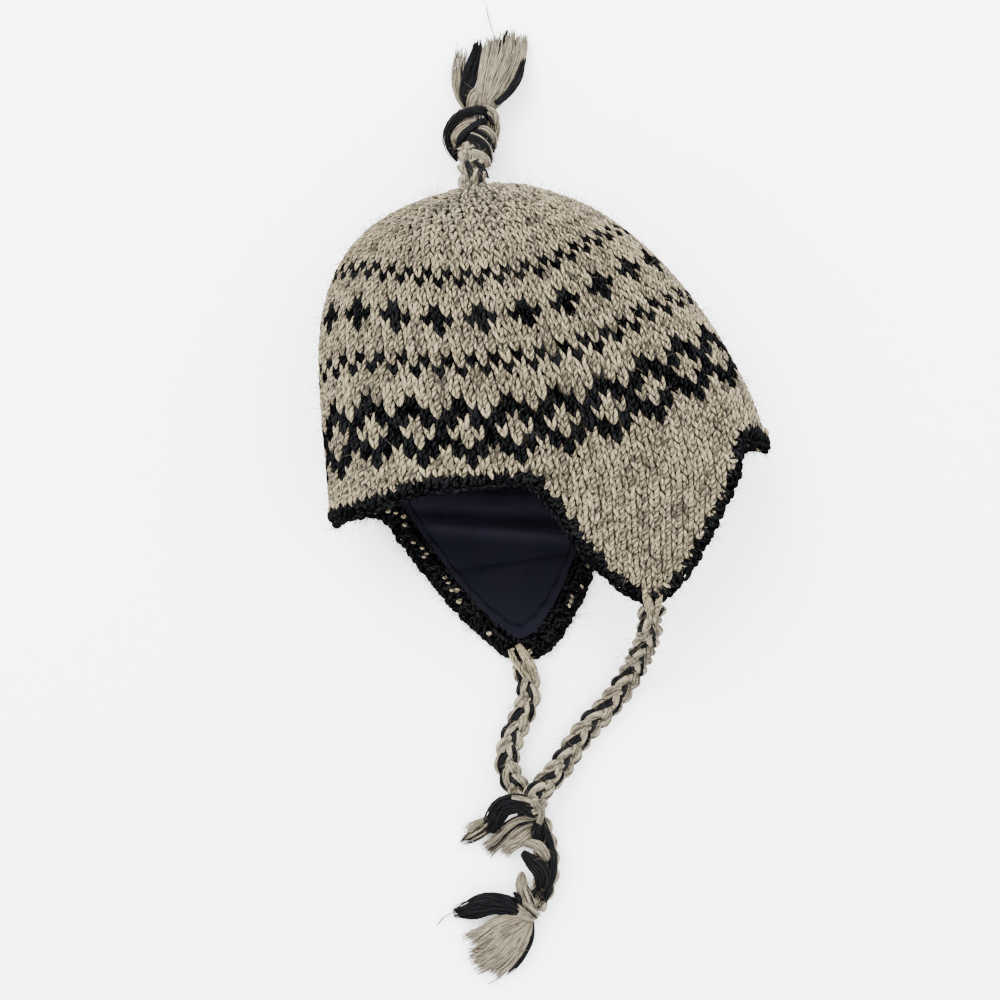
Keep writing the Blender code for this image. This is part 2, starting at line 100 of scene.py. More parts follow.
def through(rows: Array, count: int) -> Array:
    """Carry a smooth curve through rows that already have a row before the first and after the last.

    Between rows b and c the curve is Catmull-Rom's: half of
    2b + (c - a)f + (2a - 5b + 4c - d)f^2 + (3b - a - 3c + d)f^3.

    Args:
        rows: the rows, [row, value].
        count: how many places along the curve are read.

    Returns:
        The values there, [count, value].
    """
    t = np.linspace(0.0, len(rows) - 3.0, count)
    i = np.minimum(t.astype(int), len(rows) - 4)
    f = (t - i)[:, None]
    a, b, c, d = rows[i], rows[i + 1], rows[i + 2], rows[i + 3]
    return 0.5 * (2 * b + (c - a) * f + (2 * a - 5 * b + 4 * c - d) * f**2 + (3 * b - a - 3 * c + d) * f**3)


def smooth_path(points: Array, count: int) -> Array:
    """Carry a smooth curve through points and read it at even steps of its length.

    Args:
        points: the points, [point, axis].
        count: how many points come back.

    Returns:
        Points on the curve, [count, axis].
    """
    points = np.asarray(points, float)
    rows = np.vstack([2 * points[0] - points[1], points, 2 * points[-1] - points[-2]])
    return even_steps(through(rows, 40 * len(points))[None], count)[0]


def turned(points: Array) -> Array:
    """Turn points of the hat's own plan as the hat lies, and move them into the frame."""
    c, s = math.cos(TURN), math.sin(TURN)
    x, y, z = points[..., 0], points[..., 1], points[..., 2]
    return np.stack([x * c - y * s + RIM_MIDDLE[0], x * s + y * c + RIM_MIDDLE[1], z], axis=-1)


def turned_way(ways: Array) -> Array:
    """Turn directions of the hat's own plan as the hat lies."""
    c, s = math.cos(TURN), math.sin(TURN)
    x, y, z = ways[..., 0], ways[..., 1], ways[..., 2]
    return np.stack([x * c - y * s, x * s + y * c, z], axis=-1)


@dataclass
class Bundle:
    """Tubes gathered into one mesh, each with its tone, its yarn and the map that its twist follows."""

    vertices: list[Array] = field(default_factory=list)
    quads: list[Array] = field(default_factory=list)
    maps: list[Array] = field(default_factory=list)
    tones: list[Array] = field(default_factory=list)
    yarns: list[Array] = field(default_factory=list)
    count: int = 0

    def add(self, paths: Array, radii: Array, up: Array, sides: int = 6, flat: float = 1.0,
            tone: Array | float = 0.5, yarn: Array | int = 0, seed: int = 0) -> None:
        """Carry a ring along each path: centre + radius (side cos a + flat top sin a), closed at both ends.

        Args:
            paths: the tubes' centres, [tube, point, axis].
            radii: their radii, which spread to [tube, point].
            up: the direction that flatness is measured in, which spreads to paths' shape.
            sides: how many sides a tube has, an even number.
            flat: its height over its width.
            tone: how pale each tube is, from 0 to 1.
            yarn: which yarn each tube is, as Yarn's value.
            seed: for where each tube starts in the pattern along the yarn.
        """
        tubes, rings = paths.shape[:2]
        ahead = unit(np.gradient(paths, axis=1))
        side = unit(np.cross(ahead, np.broadcast_to(up, paths.shape)))
        top = np.cross(side, ahead) * flat
        turn = np.arange(sides) * 2.0 * math.pi / sides
        reach = np.broadcast_to(radii, (tubes, rings))[:, :, None, None]
        made = paths[:, :, None] + reach * (side[:, :, None] * np.cos(turn)[:, None]
                                            + top[:, :, None] * np.sin(turn)[:, None])
        index = self.count + np.arange(tubes * rings * sides).reshape(tubes, rings, sides)
        near, far = index[:, :-1], index[:, 1:]
        walls = np.stack([near, far, np.roll(far, -1, 2), np.roll(near, -1, 2)], axis=-1)
        fan = np.array([[0, j, j + 1, j + 2] for j in range(1, sides - 2, 2)])
        ends = np.concatenate([index[:, 0][:, fan], index[:, -1][:, fan[:, ::-1]]], axis=1)
        step = np.linalg.norm(np.diff(paths, axis=1), axis=2)
        start = np.random.default_rng(seed).random((tubes, 1))
        along = start + np.concatenate([np.zeros((tubes, 1)), np.cumsum(step, axis=1)], axis=1)
        around = np.arange(sides) / sides
        u = np.broadcast_to(around + np.array([[0], [0], [1], [1]]) / sides, (tubes, rings - 1, 4, sides))
        v = np.stack([along[:, :-1], along[:, 1:], along[:, 1:], along[:, :-1]], axis=2)[..., None]
        wall_map = np.stack([u, np.broadcast_to(v, u.shape)], axis=-1).transpose(0, 1, 3, 2, 4)
        end_map = np.broadcast_to(start[:, None, None, :], (tubes, ends.shape[1], 4, 1)) * np.ones(2)
        self.vertices.append(made.reshape(-1, 3))
        self.quads += [walls.reshape(-1, 4), ends.reshape(-1, 4)]
        self.maps += [wall_map.reshape(-1, 4, 2), end_map.reshape(-1, 4, 2)]
        self.tones.append(np.repeat(np.broadcast_to(tone, tubes), rings * sides))
        which = np.broadcast_to(yarn, tubes)
        self.yarns += [np.repeat(which, (rings - 1) * sides), np.repeat(which, ends.shape[1])]
        self.count += tubes * rings * sides

    def made(self, name: str, materials: list[bpy.types.Material]) -> bpy.types.Object:
        """Put the gathered tubes into one object.

        Args:
            name: the piece's name.
            materials: its materials, in the order of Yarn's values.

        Returns:
            The new object.
        """
        return new_piece(name, np.concatenate(self.vertices), np.concatenate(self.quads), materials,
                         np.concatenate(self.tones), np.concatenate(self.maps), np.concatenate(self.yarns))


def new_piece(name: str, vertices: Array, quads: Array, materials: list[bpy.types.Material],
              tones: Array | None = None, maps: Array | None = None,
              places: Array | None = None) -> bpy.types.Object:
    """Make a smooth-shaded object that rides on the hat.

    Args:
        name: the piece's name.
        vertices: its points, [point, axis].
        quads: its faces, [face, corner].
        materials: its materials.
        tones: how pale each point is, kept as the attribute tone.
        maps: each face corner's place on the yarn, kept as the UV map strand.
        places: each face's material place.

    Returns:
        The new object.
    """
    vertices[:, 2] = np.maximum(vertices[:, 2], 0.0)      # what it lies on presses it flat
    mesh = bpy.data.meshes.new(name)
    mesh.from_pydata(vertices.tolist(), [], quads.tolist())
    if tones is not None:
        mesh.attributes.new("tone", "FLOAT", "POINT").data.foreach_set("value", tones.astype(np.float32))
    if maps is not None:
        mesh.uv_layers.new(name="strand").data.foreach_set("uv", maps.astype(np.float32).ravel())
    if places is not None:
        mesh.polygons.foreach_set("material_index", places.astype(np.int32))
    mesh.shade_smooth()
    mesh.update()
    made = bpy.data.objects.new(name, mesh)
    bpy.context.scene.collection.objects.link(made)
    for material in materials:
        mesh.materials.append(material)
    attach(made, "root")
    log.info("%s: %d faces", name, len(quads))
    return made


def grid_faces(columns: int, rows: int, closed: bool) -> Array:
    """Faces between neighbours of a grid whose points are numbered row by row within each column.

    Args:
        columns: how many columns the grid has.
        rows: how many points each column has.
        closed: whether the last column meets the first.

    Returns:
        The faces, [face, corner], that point out where columns run against the sun and rows downwards.
    """
    index = np.arange(columns * rows).reshape(columns, rows)
    if closed:
        index = np.vstack([index, index[:1]])
    a, b, c, d = index[:-1, :-1], index[:-1, 1:], index[1:, 1:], index[1:, :-1]
    return np.stack([a, b, c, d], axis=-1).reshape(-1, 4)


# --- materials --------------------------------------------------------------------------------------


@dataclass
class Nodes:
    """A node tree that is written as plain calls."""

    tree: bpy.types.NodeTree

    def new(self, kind: str, settings: dict | None = None, **inputs: object) -> bpy.types.Node:
        """Add a node.

        Args:
            kind: the node's type, without ShaderNode.
            settings: its own settings.
            inputs: values or sockets for its inputs, by name with _ for spaces, or by number as in_0.

        Returns:
            The new node.
        """
        node = self.tree.nodes.new(kind if kind.startswith("Node") else "ShaderNode" + kind)
        for key, value in (settings or {}).items():
            setattr(node, key, value)
        for key, value in inputs.items():
            socket = node.inputs[int(key[3:]) if key.startswith("in_") else key.replace("_", " ")]
            if isinstance(value, bpy.types.NodeSocket):
                self.tree.links.new(value, socket)
            else:
                socket.default_value = value
        return node

    def maths(self, operation: str, first: object, second: object = 0.0) -> bpy.types.NodeSocket:
        """Work one sum on two values or sockets, and give its result."""
        return self.new("Math", {"operation": operation}, in_0=first, in_1=second).outputs[0]


def group_nodes(name: str, inputs: dict[str, float], outputs: tuple[str, ...]) -> Nodes:
    """Start a node group with number sockets.

    Args:
        name: the group's name.
        inputs: its inputs and their usual values.
        outputs: its outputs.

    Returns:
        Its nodes, with the group's ends already there.
    """
    tree = bpy.data.node_groups.new(name, "ShaderNodeTree")
    for key, value in inputs.items():
        tree.interface.new_socket(key, in_out="INPUT", socket_type="NodeSocketFloat").default_value = value
    for key in outputs:
        tree.interface.new_socket(key, in_out="OUTPUT", socket_type="NodeSocketFloat")
    return Nodes(tree)


def twisted_yarn_group() -> bpy.types.NodeTree:
    """Plies that wind round a yarn, and fibres that run along them.

    The angle round the yarn is a = 2 pi (round + along / pitch). The plies' height is |sin a|, and the
    fibres are noise at (cos a, sin a, along), drawn out along the yarn. The fibre output also carries a
    painted highlight on the ply crests and painted shade in the grooves between them.

    Returns:
        The node group.
    """
    nodes = group_nodes("twisted_yarn", {"Pitch": 0.006, "Grain": 3.0}, ("Height", "Fibre_and_Shade", "Mottle"))
    ends = nodes.new("NodeGroupInput"), nodes.new("NodeGroupOutput")
    strand = nodes.new("UVMap", {"uv_map": "strand"})
    parts = nodes.new("SeparateXYZ", in_0=strand.outputs[0])
    turns = nodes.maths("DIVIDE", parts.outputs[1], ends[0].outputs["Pitch"])
    wound = nodes.maths("ADD", parts.outputs[0], turns)
    angle = nodes.maths("MULTIPLY", wound, 2.0 * math.pi)
    ply = nodes.maths("ABSOLUTE", nodes.maths("SINE", angle))
    drawn = nodes.new("CombineXYZ", X=nodes.maths("COSINE", angle), Y=nodes.maths("SINE", angle),
                      Z=nodes.maths("MULTIPLY", parts.outputs[1], 420.0))
    fibre = nodes.new("TexNoise", Vector=drawn.outputs[0], Scale=ends[0].outputs["Grain"], Detail=2.5,
                      Roughness=0.7)
    place = nodes.new("TexCoord")
    mottle = nodes.new("TexNoise", Vector=place.outputs["Object"], Scale=190.0, Detail=2.0, Roughness=0.6)
    height = nodes.maths("ADD", nodes.maths("MULTIPLY", ply, 0.55), fibre.outputs[0])
    nodes.tree.links.new(height, ends[1].inputs["Height"])
    # painted highlight on the ply crests and painted shade in the grooves between them, added to the fibres'
    # colour
    painted_ply_shade = nodes.maths("MULTIPLY", nodes.maths("SUBTRACT", ply, 0.62), 0.22)
    fibre_and_ply_shade = nodes.maths("ADD", fibre.outputs[0], painted_ply_shade)
    nodes.tree.links.new(fibre_and_ply_shade, ends[1].inputs["Fibre_and_Shade"])
    nodes.tree.links.new(mottle.outputs[0], ends[1].inputs["Mottle"])
    return nodes.tree


def blank_material(name: str) -> tuple[bpy.types.Material, Nodes]:
    """Start a material with an empty node tree."""
    material = bpy.data.materials.new(name)
    material.use_nodes = True
    material.node_tree.nodes.clear()
    return material, Nodes(material.node_tree)


def shade(nodes: Nodes, share: object, colours: tuple[Colour, Colour], bump: bpy.types.Node,
          gloss: float, **looks: float) -> None:
    """Shade a material between two colours and end its tree.

    Args:
        nodes: the material's nodes.
        share: where between the colours each point lies, cut to 0 to 1 here.
        colours: the deep and the pale colour.
        bump: the node that gives its relief.
        gloss: its specular level.
        looks: other inputs of the shader, by name with _ for spaces.
    """
    clamped = nodes.new("Clamp", in_0=share).outputs[0]
    colour = nodes.new("Mix", {"data_type": "RGBA"}, in_0=clamped, in_6=(*colours[0], 1.0),
                       in_7=(*colours[1], 1.0))
    shader = nodes.new("BsdfPrincipled", Base_Color=colour.outputs[2], Normal=bump.outputs[0], **looks)
    shader.inputs["Specular IOR Level"].default_value = gloss
    nodes.tree.links.new(shader.outputs[0], nodes.new("OutputMaterial").inputs[0])


@dataclass(frozen=True)
class WoolFinish:
    """A spun wool: two colours that its fibres lie between, and how soft it looks."""

    name: str
    deep: Colour
    pale: Colour
    pitch: float = 0.006
    grain: float = 0.85
    relief: float = 0.0006
    sheen: float = 0.06
    contrast: float = 4.2
    gloss: float = 0.10

    def made(self, twist: bpy.types.NodeTree) -> bpy.types.Material:
        """Build the material: pale where tone, fibre and mottle add up, with the twist as its relief.

        The fibre term also holds a painted highlight on the ply crests and painted shade in their grooves.

        Args:
            twist: the node group for twisted yarn.

        Returns:
            The material.
        """
        material, nodes = blank_material(self.name)
        yarn = nodes.new("Group", {"node_tree": twist}, Pitch=self.pitch, Grain=self.grain)
        tone = nodes.new("Attribute", {"attribute_name": "tone"}).outputs["Fac"]
        # the fibre term includes painted ply shade: crests paler, grooves darker
        spread = nodes.maths("MULTIPLY", nodes.maths("SUBTRACT", yarn.outputs["Fibre_and_Shade"], 0.5), self.contrast)
        mottle = nodes.maths("MULTIPLY", nodes.maths("SUBTRACT", yarn.outputs["Mottle"], 0.5), 1.1)
        share = nodes.maths("ADD", nodes.maths("ADD", tone, spread), mottle)
        bump = nodes.new("Bump", Strength=0.8, Distance=self.relief, Height=yarn.outputs["Height"])
        shade(nodes, share, (self.deep, self.pale), bump, self.gloss, Roughness=0.93,
              Sheen_Weight=self.sheen, Sheen_Roughness=0.6)
        return material


@dataclass(frozen=True)
class FleeceFinish:
    """A dark brushed lining with a fine weave under its nap."""

    name: str = "navy_fleece"
    deep: Colour = (0.0004, 0.0005, 0.0014)
    pale: Colour = (0.0050, 0.0046, 0.0088)

    def made(self) -> bpy.types.Material:
        """Build the material: a cloudy nap over a fine crossed weave.

        Returns:
            The material.
        """
        material, nodes = blank_material(self.name)
        place = nodes.new("TexCoord").outputs["Object"]
        nap = nodes.new("TexNoise", Vector=place, Scale=900.0, Detail=4.0, Roughness=0.7).outputs[0]
        cloud = nodes.new("TexNoise", Vector=place, Scale=45.0, Detail=3.0, Roughness=0.55).outputs[0]
        tone = nodes.new("Attribute", {"attribute_name": "tone"}).outputs["Fac"]
        share = nodes.maths("ADD", nodes.maths("MULTIPLY", cloud, 0.55), nodes.maths("MULTIPLY", nap, 0.35))
        share = nodes.maths("MULTIPLY", share, tone)
        bump = nodes.new("Bump", Strength=0.5, Distance=0.0003, Height=nap)
        shade(nodes, share, (self.deep, self.pale), bump, 0.03, Roughness=0.85, Sheen_Weight=0.03,
              Sheen_Roughness=0.5)
        return material


NATURAL = WoolFinish("natural_wool", (0.0170, 0.0128, 0.0072), (0.196, 0.160, 0.094))
CHARCOAL = WoolFinish("charcoal_wool", (0.0002, 0.0002, 0.0003), (0.0062, 0.0062, 0.0068),
                      sheen=0.0, contrast=3.6, gloss=0.0)
PALE_LOCK = WoolFinish("tassel_wool", (0.0160, 0.0125, 0.0075), (0.163, 0.138, 0.093), pitch=0.02, grain=2.2,
                       relief=0.0002)
DARK_LOCK = WoolFinish("tassel_charcoal", (0.0002, 0.0002, 0.0003), (0.0055, 0.0055, 0.0062), pitch=0.02,
                       grain=2.2, relief=0.0002, sheen=0.0, gloss=0.04)


# --- the cloth --------------------------------------------------------------------------------------

# Cross sections from the apex to beyond the rim: along as a share of depth from the rim, half width of
# half the width, lean of the width, then the heights of the top, the low side and the folds.
SECTIONS = np.array((
    (1.000, 0.000, -0.044, 0.430, 0.430, 0.430), (0.982, 0.225, -0.066, 0.560, 0.300, 0.430),
    (0.930, 0.410, -0.078, 0.700, 0.175, 0.435), (0.845, 0.575, -0.072, 0.820, 0.075, 0.440),
    (0.725, 0.705, -0.060, 0.915, 0.018, 0.450), (0.580, 0.805, -0.043, 0.970, 0.000, 0.460),
    (0.400, 0.885, -0.022, 1.000, 0.000, 0.465), (0.200, 0.945, -0.005, 1.000, 0.000, 0.465),
    (0.060, 0.975, 0.000, 0.975, 0.000, 0.465), (-0.060, 1.010, 0.004, 0.915, 0.000, 0.460),
    (-0.250, 1.000, 0.000, 0.770, 0.000, 0.420), (-0.450, 1.000, 0.000, 0.580, 0.000, 0.360),
    (-0.700, 1.000, 0.000, 0.380, 0.000, 0.300),
))
# The knitted edge's reach by station, as a share of the crown's.
RIM = np.array((
    (0.000, 1.050), (0.060, 1.010), (0.130, 0.915), (0.210, 0.868), (0.300, 0.900), (0.440, 0.985),
    (0.500, 1.055), (0.600, 0.995), (0.800, 0.975), (0.910, 1.005), (1.000, 1.050),
))


@dataclass
class Cloth:
    """The hat's outer surface as a function of station and reach."""

    depth: float = 0.1515
    width: float = 0.2205
    thickness: float = 0.086
    crown_reach: float = 0.1945
    rim_length: float = 0.518
    flap_middles: tuple[float, float] = (0.338, 0.805)
    flap_widths: tuple[float, float] = (0.1020, 0.1040)
    flap_lengths: tuple[float, float] = (0.0700, 0.0690)
    flap_pointedness: float = 1.55
    flap_root_blend: float = 0.0070
    longest: float = 0.300
    fine: int = 241
    reaches: int = 421
    grid: Array = field(init=False)

    def __post_init__(self) -> None:
        """Work out the surface on a grid of stations and even reaches.

        Each section is two half superellipses, |x|^n + |z|^n = 1, the upper with n = 2.2 and the lower with
        n = 3, pressed flat on the surface. Stations are even shares of the way along each half.
        """
        before = 2.0 * SECTIONS[0] - SECTIONS[1]
        before[[0, 2]] = SECTIONS[1][[0, 2]]
        rows = through(np.vstack([before, SECTIONS, 2.0 * SECTIONS[-1] - SECTIONS[-2]]), self.fine)
        angle = np.linspace(0.0, math.pi, self.fine)
        fold = rows[:, 5:6]
        halves = []
        for roundness, press, way, high in ((2.2, 1.0, 1.0, rows[:, 3:4]), (3.0, 1.05, -1.0, rows[:, 4:5])):
            across = np.sign(np.cos(angle)) * np.abs(np.cos(angle)) ** (2.0 / roundness)
            out = np.minimum(1.0, press * np.abs(np.sin(angle)) ** (2.0 / roundness))
            x = rows[:, 2:3] * self.width - way * np.maximum(rows[:, 1:2], 0.0) * self.width / 2.0 * across
            z = (fold + (np.maximum(high, 0.0) - fold) * out) * self.thickness
            halves.append(even_steps(np.stack([x, z], axis=2), self.fine))
        plan = np.concatenate([halves[0], halves[1][:, 1:]], axis=1).transpose(1, 0, 2)
        y = np.broadcast_to(rows[:, 0] * self.depth, plan.shape[:2])
        self.grid = even_steps(np.stack([plan[..., 0], y, plan[..., 1]], axis=2), self.reaches, self.longest)

    def at(self, station: Array, reach: Array) -> Array:
        """Read the surface between the grid's points, in the hat's own plan.

        Args:
            station: shares of the way round.
            reach: distances from the apex.

        Returns:
            The points there.
        """
        station, reach = np.broadcast_arrays(np.asarray(station, float) % 1.0, reach)
        column = station * (len(self.grid) - 1)
        row = np.clip(reach / self.longest, 0.0, 1.0) * (self.reaches - 1)
        i = np.minimum(column.astype(int), len(self.grid) - 2)
        j = np.minimum(row.astype(int), self.reaches - 2)
        f, g = (column - i)[..., None], (row - j)[..., None]
        return ((self.grid[i, j] * (1 - f) + self.grid[i + 1, j] * f) * (1 - g)
                + (self.grid[i, j + 1] * (1 - f) + self.grid[i + 1, j + 1] * f) * g)

    def normal(self, station: Array, reach: Array) -> Array:
        """Unit vectors out of the cloth: the cross product of the ways along it and round it."""
        reach = np.maximum(reach, 0.0)
        near = np.maximum(reach - 0.0015, 0.0)
        round_it = self.at(station + 0.004, reach) - self.at(station - 0.004, reach)
        return unit(np.cross(self.at(station, near + 0.003) - self.at(station, near), round_it))

    def lifted(self, station: Array, reach: Array, height: Array | float) -> tuple[Array, Array]:
        """Points at heights off the cloth, and the ways out of it, both in the frame.

        Args:
            station: shares of the way round.
            reach: distances from the apex.
            height: distances out of the cloth.

        Returns:
            The points and the unit vectors.
        """
        station, reach, height = np.broadcast_arrays(station, reach, height)
        out = self.normal(station, reach)
        return turned(self.at(station, reach) + out * height[..., None]), turned_way(out)

    def edge(self, station: Array) -> Array:
        """The knitted edge's reach: the rim plus two rounded points, blended over a short way round."""
        shifts = np.linspace(-1.0, 1.0, 9)
        weights = 1.1 - shifts**2
        total = np.zeros(np.shape(station))
        for shift, weight in zip(shifts * self.flap_root_blend / self.rim_length, weights / weights.sum()):
            at = (np.asarray(station) + shift) % 1.0
            reach = self.crown_reach * np.interp(at, RIM[:, 0], RIM[:, 1])
            for middle, width, length in zip(self.flap_middles, self.flap_widths, self.flap_lengths):
                off = np.abs((at - middle + 0.5) % 1.0 - 0.5) * self.rim_length / (width / 2.0)
                reach = reach + length * np.maximum(1.0 - off**self.flap_pointedness, 0.0)
            total = total + weight * reach
        return total

    def inset(self, station: Array, distance: float) -> Array:
        """The edge's reach moved in by an even distance, as discs on the edge would push it back."""
        offsets = np.linspace(-0.999, 0.999, 61) * distance
        around = np.asarray(station)[..., None] + offsets / self.rim_length
        return (self.edge(around) - np.sqrt(distance**2 - offsets**2)).min(axis=-1)

    def edge_frame(self, station: Array) -> tuple[Array, Array, Array, Array]:
        """The knitted edge with its ways out of the cloth, away from the cloth and along the edge.

        Args:
            station: shares of the way round.

        Returns:
            Points and three sets of unit vectors, in the frame.
        """
        reach = self.edge(station)
        along = unit(self.at(station + 0.002, self.edge(station + 0.002))
                     - self.at(station - 0.002, self.edge(station - 0.002)))
        out = self.normal(station, reach)
        away = unit(np.cross(along, out))
        return turned(self.at(station, reach)), turned_way(out), turned_way(away), turned_way(along)


# --- the knitted shell ------------------------------------------------------------------------------

# The pattern from the crown down, K for charcoal.
CHART_WIDTH = 4
CHART = {
    17: "K.K.", 18: ".K.K",
    21: "K...", 22: "KK.K", 23: "K...",
    26: "K.K.", 27: ".K.K",
    30: "K...", 31: "KK.K", 32: ".KKK", 33: "..K.", 34: ".KKK", 35: "KK.K", 36: "K...",
}


@dataclass
class KnitShell:
    """The knitted wall, stitch by stitch, with the base that shows between the stitches."""

    cloth: Cloth
    wales: int = 88
    wedges: int = 8
    crown_rows: int = 17
    last_row: int = 60
    flap_row: int = 38              # the first row below the pattern
    wall: float = 0.0045
    base_depth: float = 0.0016
    leg_radius: float = 0.00110
    usual_width: float = 0.0056     # of a stitch, at which a leg has its full radius
    past_edge: float = 0.0022       # how far a leg may reach beyond the knitted edge
    base_rows: int = 64             # of points on each side of the base
    base_start: float = 0.0005      # the base's first reach
    base_tone: float = 0.45
    dark_hem: float = 0.012         # the charcoal border inside
    seed: int = 11
    # rows, and the share of a full meridian at which each lies
    row_marks: tuple[float, ...] = (0.0, 18.0, 22.5, 27.0, 33.5, 37.0, 58.6)
    row_shares: tuple[float, ...] = (0.0, 0.412, 0.529, 0.655, 0.833, 0.923, 1.400)
    # stations, and the full meridian there as a share of the crown's reach
    meridian: tuple[tuple[float, ...], ...] = ((0.0, 0.1, 0.25, 0.4, 0.5, 0.75, 0.9, 1.0),
                                               (1.085, 0.965, 0.905, 0.93, 1.0, 0.98, 1.0, 1.065))
    spots: dict[str, tuple[Array, Array]] = field(default_factory=dict)

    def reach_of(self, row: Array, station: Array) -> Array:
        """The reach of a row at a station: its share of the full meridian there."""
        full = np.interp(station % 1.0, self.meridian[0], self.meridian[1])
        return full * self.cloth.crown_reach * np.interp(row, self.row_marks, self.row_shares)

    def stitches(self) -> tuple[Array, Array, Array]:
        """Lay out every stitch inside the knitted edge.

        A crown row has an odd number of stitches in each wedge, which grows evenly with its row.

        Returns:
            Each stitch's station, row and width as a share of the way round.
        """
        found = []
        for row in range(self.last_row):
            whole = self.wales // self.wedges
            share = min(1.0, (row + 1.0) / (self.crown_rows + 1.0))
            each = min(whole, 2 * int(share * (whole + 0.5) / 2.0) + 1)
            width = 1.0 / self.wedges / each
            middle = (whole // 2 + whole * np.arange(self.wedges)) / self.wales
            places = (middle[:, None] + (np.arange(each) - each // 2) * width).ravel()
            found.append(np.stack(np.broadcast_arrays(places, float(row), width), axis=1))
        station, row, width = np.concatenate(found).T
        kept = self.reach_of(row + 0.5, station) < self.cloth.edge(station) - 0.0008
        return station[kept], row[kept], width[kept]

    def is_charcoal(self, station: Array, row: Array) -> Array:
        """Whether the chart asks for charcoal at each stitch."""
        wale = np.rint(station * self.wales).astype(int) % CHART_WIDTH
        table = np.zeros((self.last_row, CHART_WIDTH), bool)
        for number, line in CHART.items():
            table[number] = [mark == "K" for mark in line]
        return table[row.astype(int), wale]

    def legs(self, station: Array, row: Array, width: Array, bundle: Bundle, yarn: Yarn) -> None:
        """Add both legs of each stitch: a V whose point lies over the row below and whose ends dip.

        A leg runs from x = 0.04 to 0.415 of the stitch's width and over 1.5 rows, with a height of
        radius (0.55 sin(pi t) - 0.85 t + 0.30).

        Args:
            station: the stitches' stations.
            row: their rows.
            width: their widths as shares of the way round.
            bundle: what the legs are added to.
            yarn: their yarn.
        """
        rng = np.random.default_rng(self.seed + yarn.value)
        t = np.linspace(0.0, 1.0, 5)
        edge = self.cloth.edge(station)[:, None]
        reach = self.reach_of(row + 0.5, station)
        wide = self.cloth.at(station + width / 2.0, reach) - self.cloth.at(station - width / 2.0, reach)
        fit = np.clip(np.linalg.norm(wide, axis=1) / self.usual_width, 0.45, 1.08)[:, None]
        lean = rng.normal(0.0, 0.035, (len(station), 1))
        tone = np.clip(rng.normal(0.38, 0.15, len(station)), 0.05, 0.9)
        for side in (-1.0, 1.0):
            jitter = rng.normal(0.0, 0.065, (len(station), 3))
            across = side * (0.040 + 0.375 * t**0.85) + lean * (t - 0.5) * 2.0 + jitter[:, :1] * 0.5
            down = row[:, None] + 0.5 + (0.76 - 1.50 * t) + jitter[:, 1:2]
            at = station[:, None] + across * width[:, None]
            reach = np.minimum(np.maximum(self.reach_of(down, at), 0.0004), edge + self.past_edge)
            size = self.leg_radius * fit * (1.0 + jitter[:, 2:3])
            round_off = 0.26 + 0.74 * np.sin(math.pi * (0.05 + 0.88 * t)) ** 0.9
            height = size * (0.55 * np.sin(math.pi * t) - 0.85 * t + 0.30)
            paths, out = self.cloth.lifted(at, reach, height)
            bundle.add(paths, size * round_off, out, sides=5, flat=0.92,
                       tone=tone + rng.normal(0.0, 0.12, len(tone)), yarn=yarn.value,
                       seed=self.seed + int(side))

    def base(self, wool: bpy.types.Material, dark: bpy.types.Material) -> bpy.types.Object:
        """Build the wall behind the stitches: two surfaces joined at the mouth, coloured by the chart.

        Args:
            wool: the natural material.
            dark: the charcoal material.

        Returns:
            The piece.
        """
        station = (np.arange(2 * self.wales) + 0.5) / (2 * self.wales)
        share = np.linspace(0.0, 1.0, self.base_rows)
        edge = self.cloth.edge(station)[:, None]
        reach = self.base_start + (edge - self.base_start) * share
        outer, _ = self.cloth.lifted(station[:, None], reach, -self.base_depth)
        inner, _ = self.cloth.lifted(station[:, None], reach[:, ::-1], -self.wall)
        both = np.concatenate([outer, inner], axis=1)
        quads = grid_faces(len(station), 2 * self.base_rows, closed=True)
        row = np.zeros_like(reach)
        rows = np.arange(0.0, self.last_row, 0.25)
        for i, at in enumerate(station):
            row[i] = np.interp(reach[i], self.reach_of(rows, at), rows)
        wale_at = np.broadcast_to(station[:, None], reach.shape)
        dark_at = self.is_charcoal(wale_at + 1e-6, np.minimum(row, self.last_row - 1))
        hemmed = dark_at | (edge - reach < self.dark_hem)
        mark = np.concatenate([dark_at, hemmed[:, ::-1]], axis=1)[:, :-1].ravel()
        tone = np.full(both.shape[:2], self.base_tone)
        return new_piece("knit_base", both.reshape(-1, 3), quads, [wool, dark], tone.ravel(),
                         np.zeros((len(quads), 4, 2)), mark.astype(int))

    def build(self, wool: bpy.types.Material, dark: bpy.types.Material) -> list[bpy.types.Object]:
        """Build the base and the stitches.

        Args:
            wool: the natural material.
            dark: the charcoal material.

        Returns:
            The base, the natural crown, body and flaps, and the charcoal pattern.
        """
        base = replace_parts(self.base(wool, dark), "knit_shell")
        station, row, width = self.stitches()
        charcoal = self.is_charcoal(station, row)
        made = [base]
        for name, chosen, yarn in (
                ("crown_stitches", ~charcoal & (row < self.crown_rows), Yarn.NATURAL),
                ("body_stitches", ~charcoal & (row >= self.crown_rows) & (row < self.flap_row), Yarn.NATURAL),
                ("flap_stitches", ~charcoal & (row >= self.flap_row), Yarn.NATURAL),
                ("pattern_stitches", charcoal, Yarn.CHARCOAL)):
            bundle = Bundle()
            self.legs(station[chosen], row[chosen], width[chosen], bundle, yarn)
            piece = bundle.made(name, [wool, dark])
            made.append(piece)
            self.spots[name] = self.cloth.lifted(station[chosen], self.reach_of(row[chosen] + 0.5,
                                                                                station[chosen]), 0.0008)
        return made


# --- the lining -------------------------------------------------------------------------------------


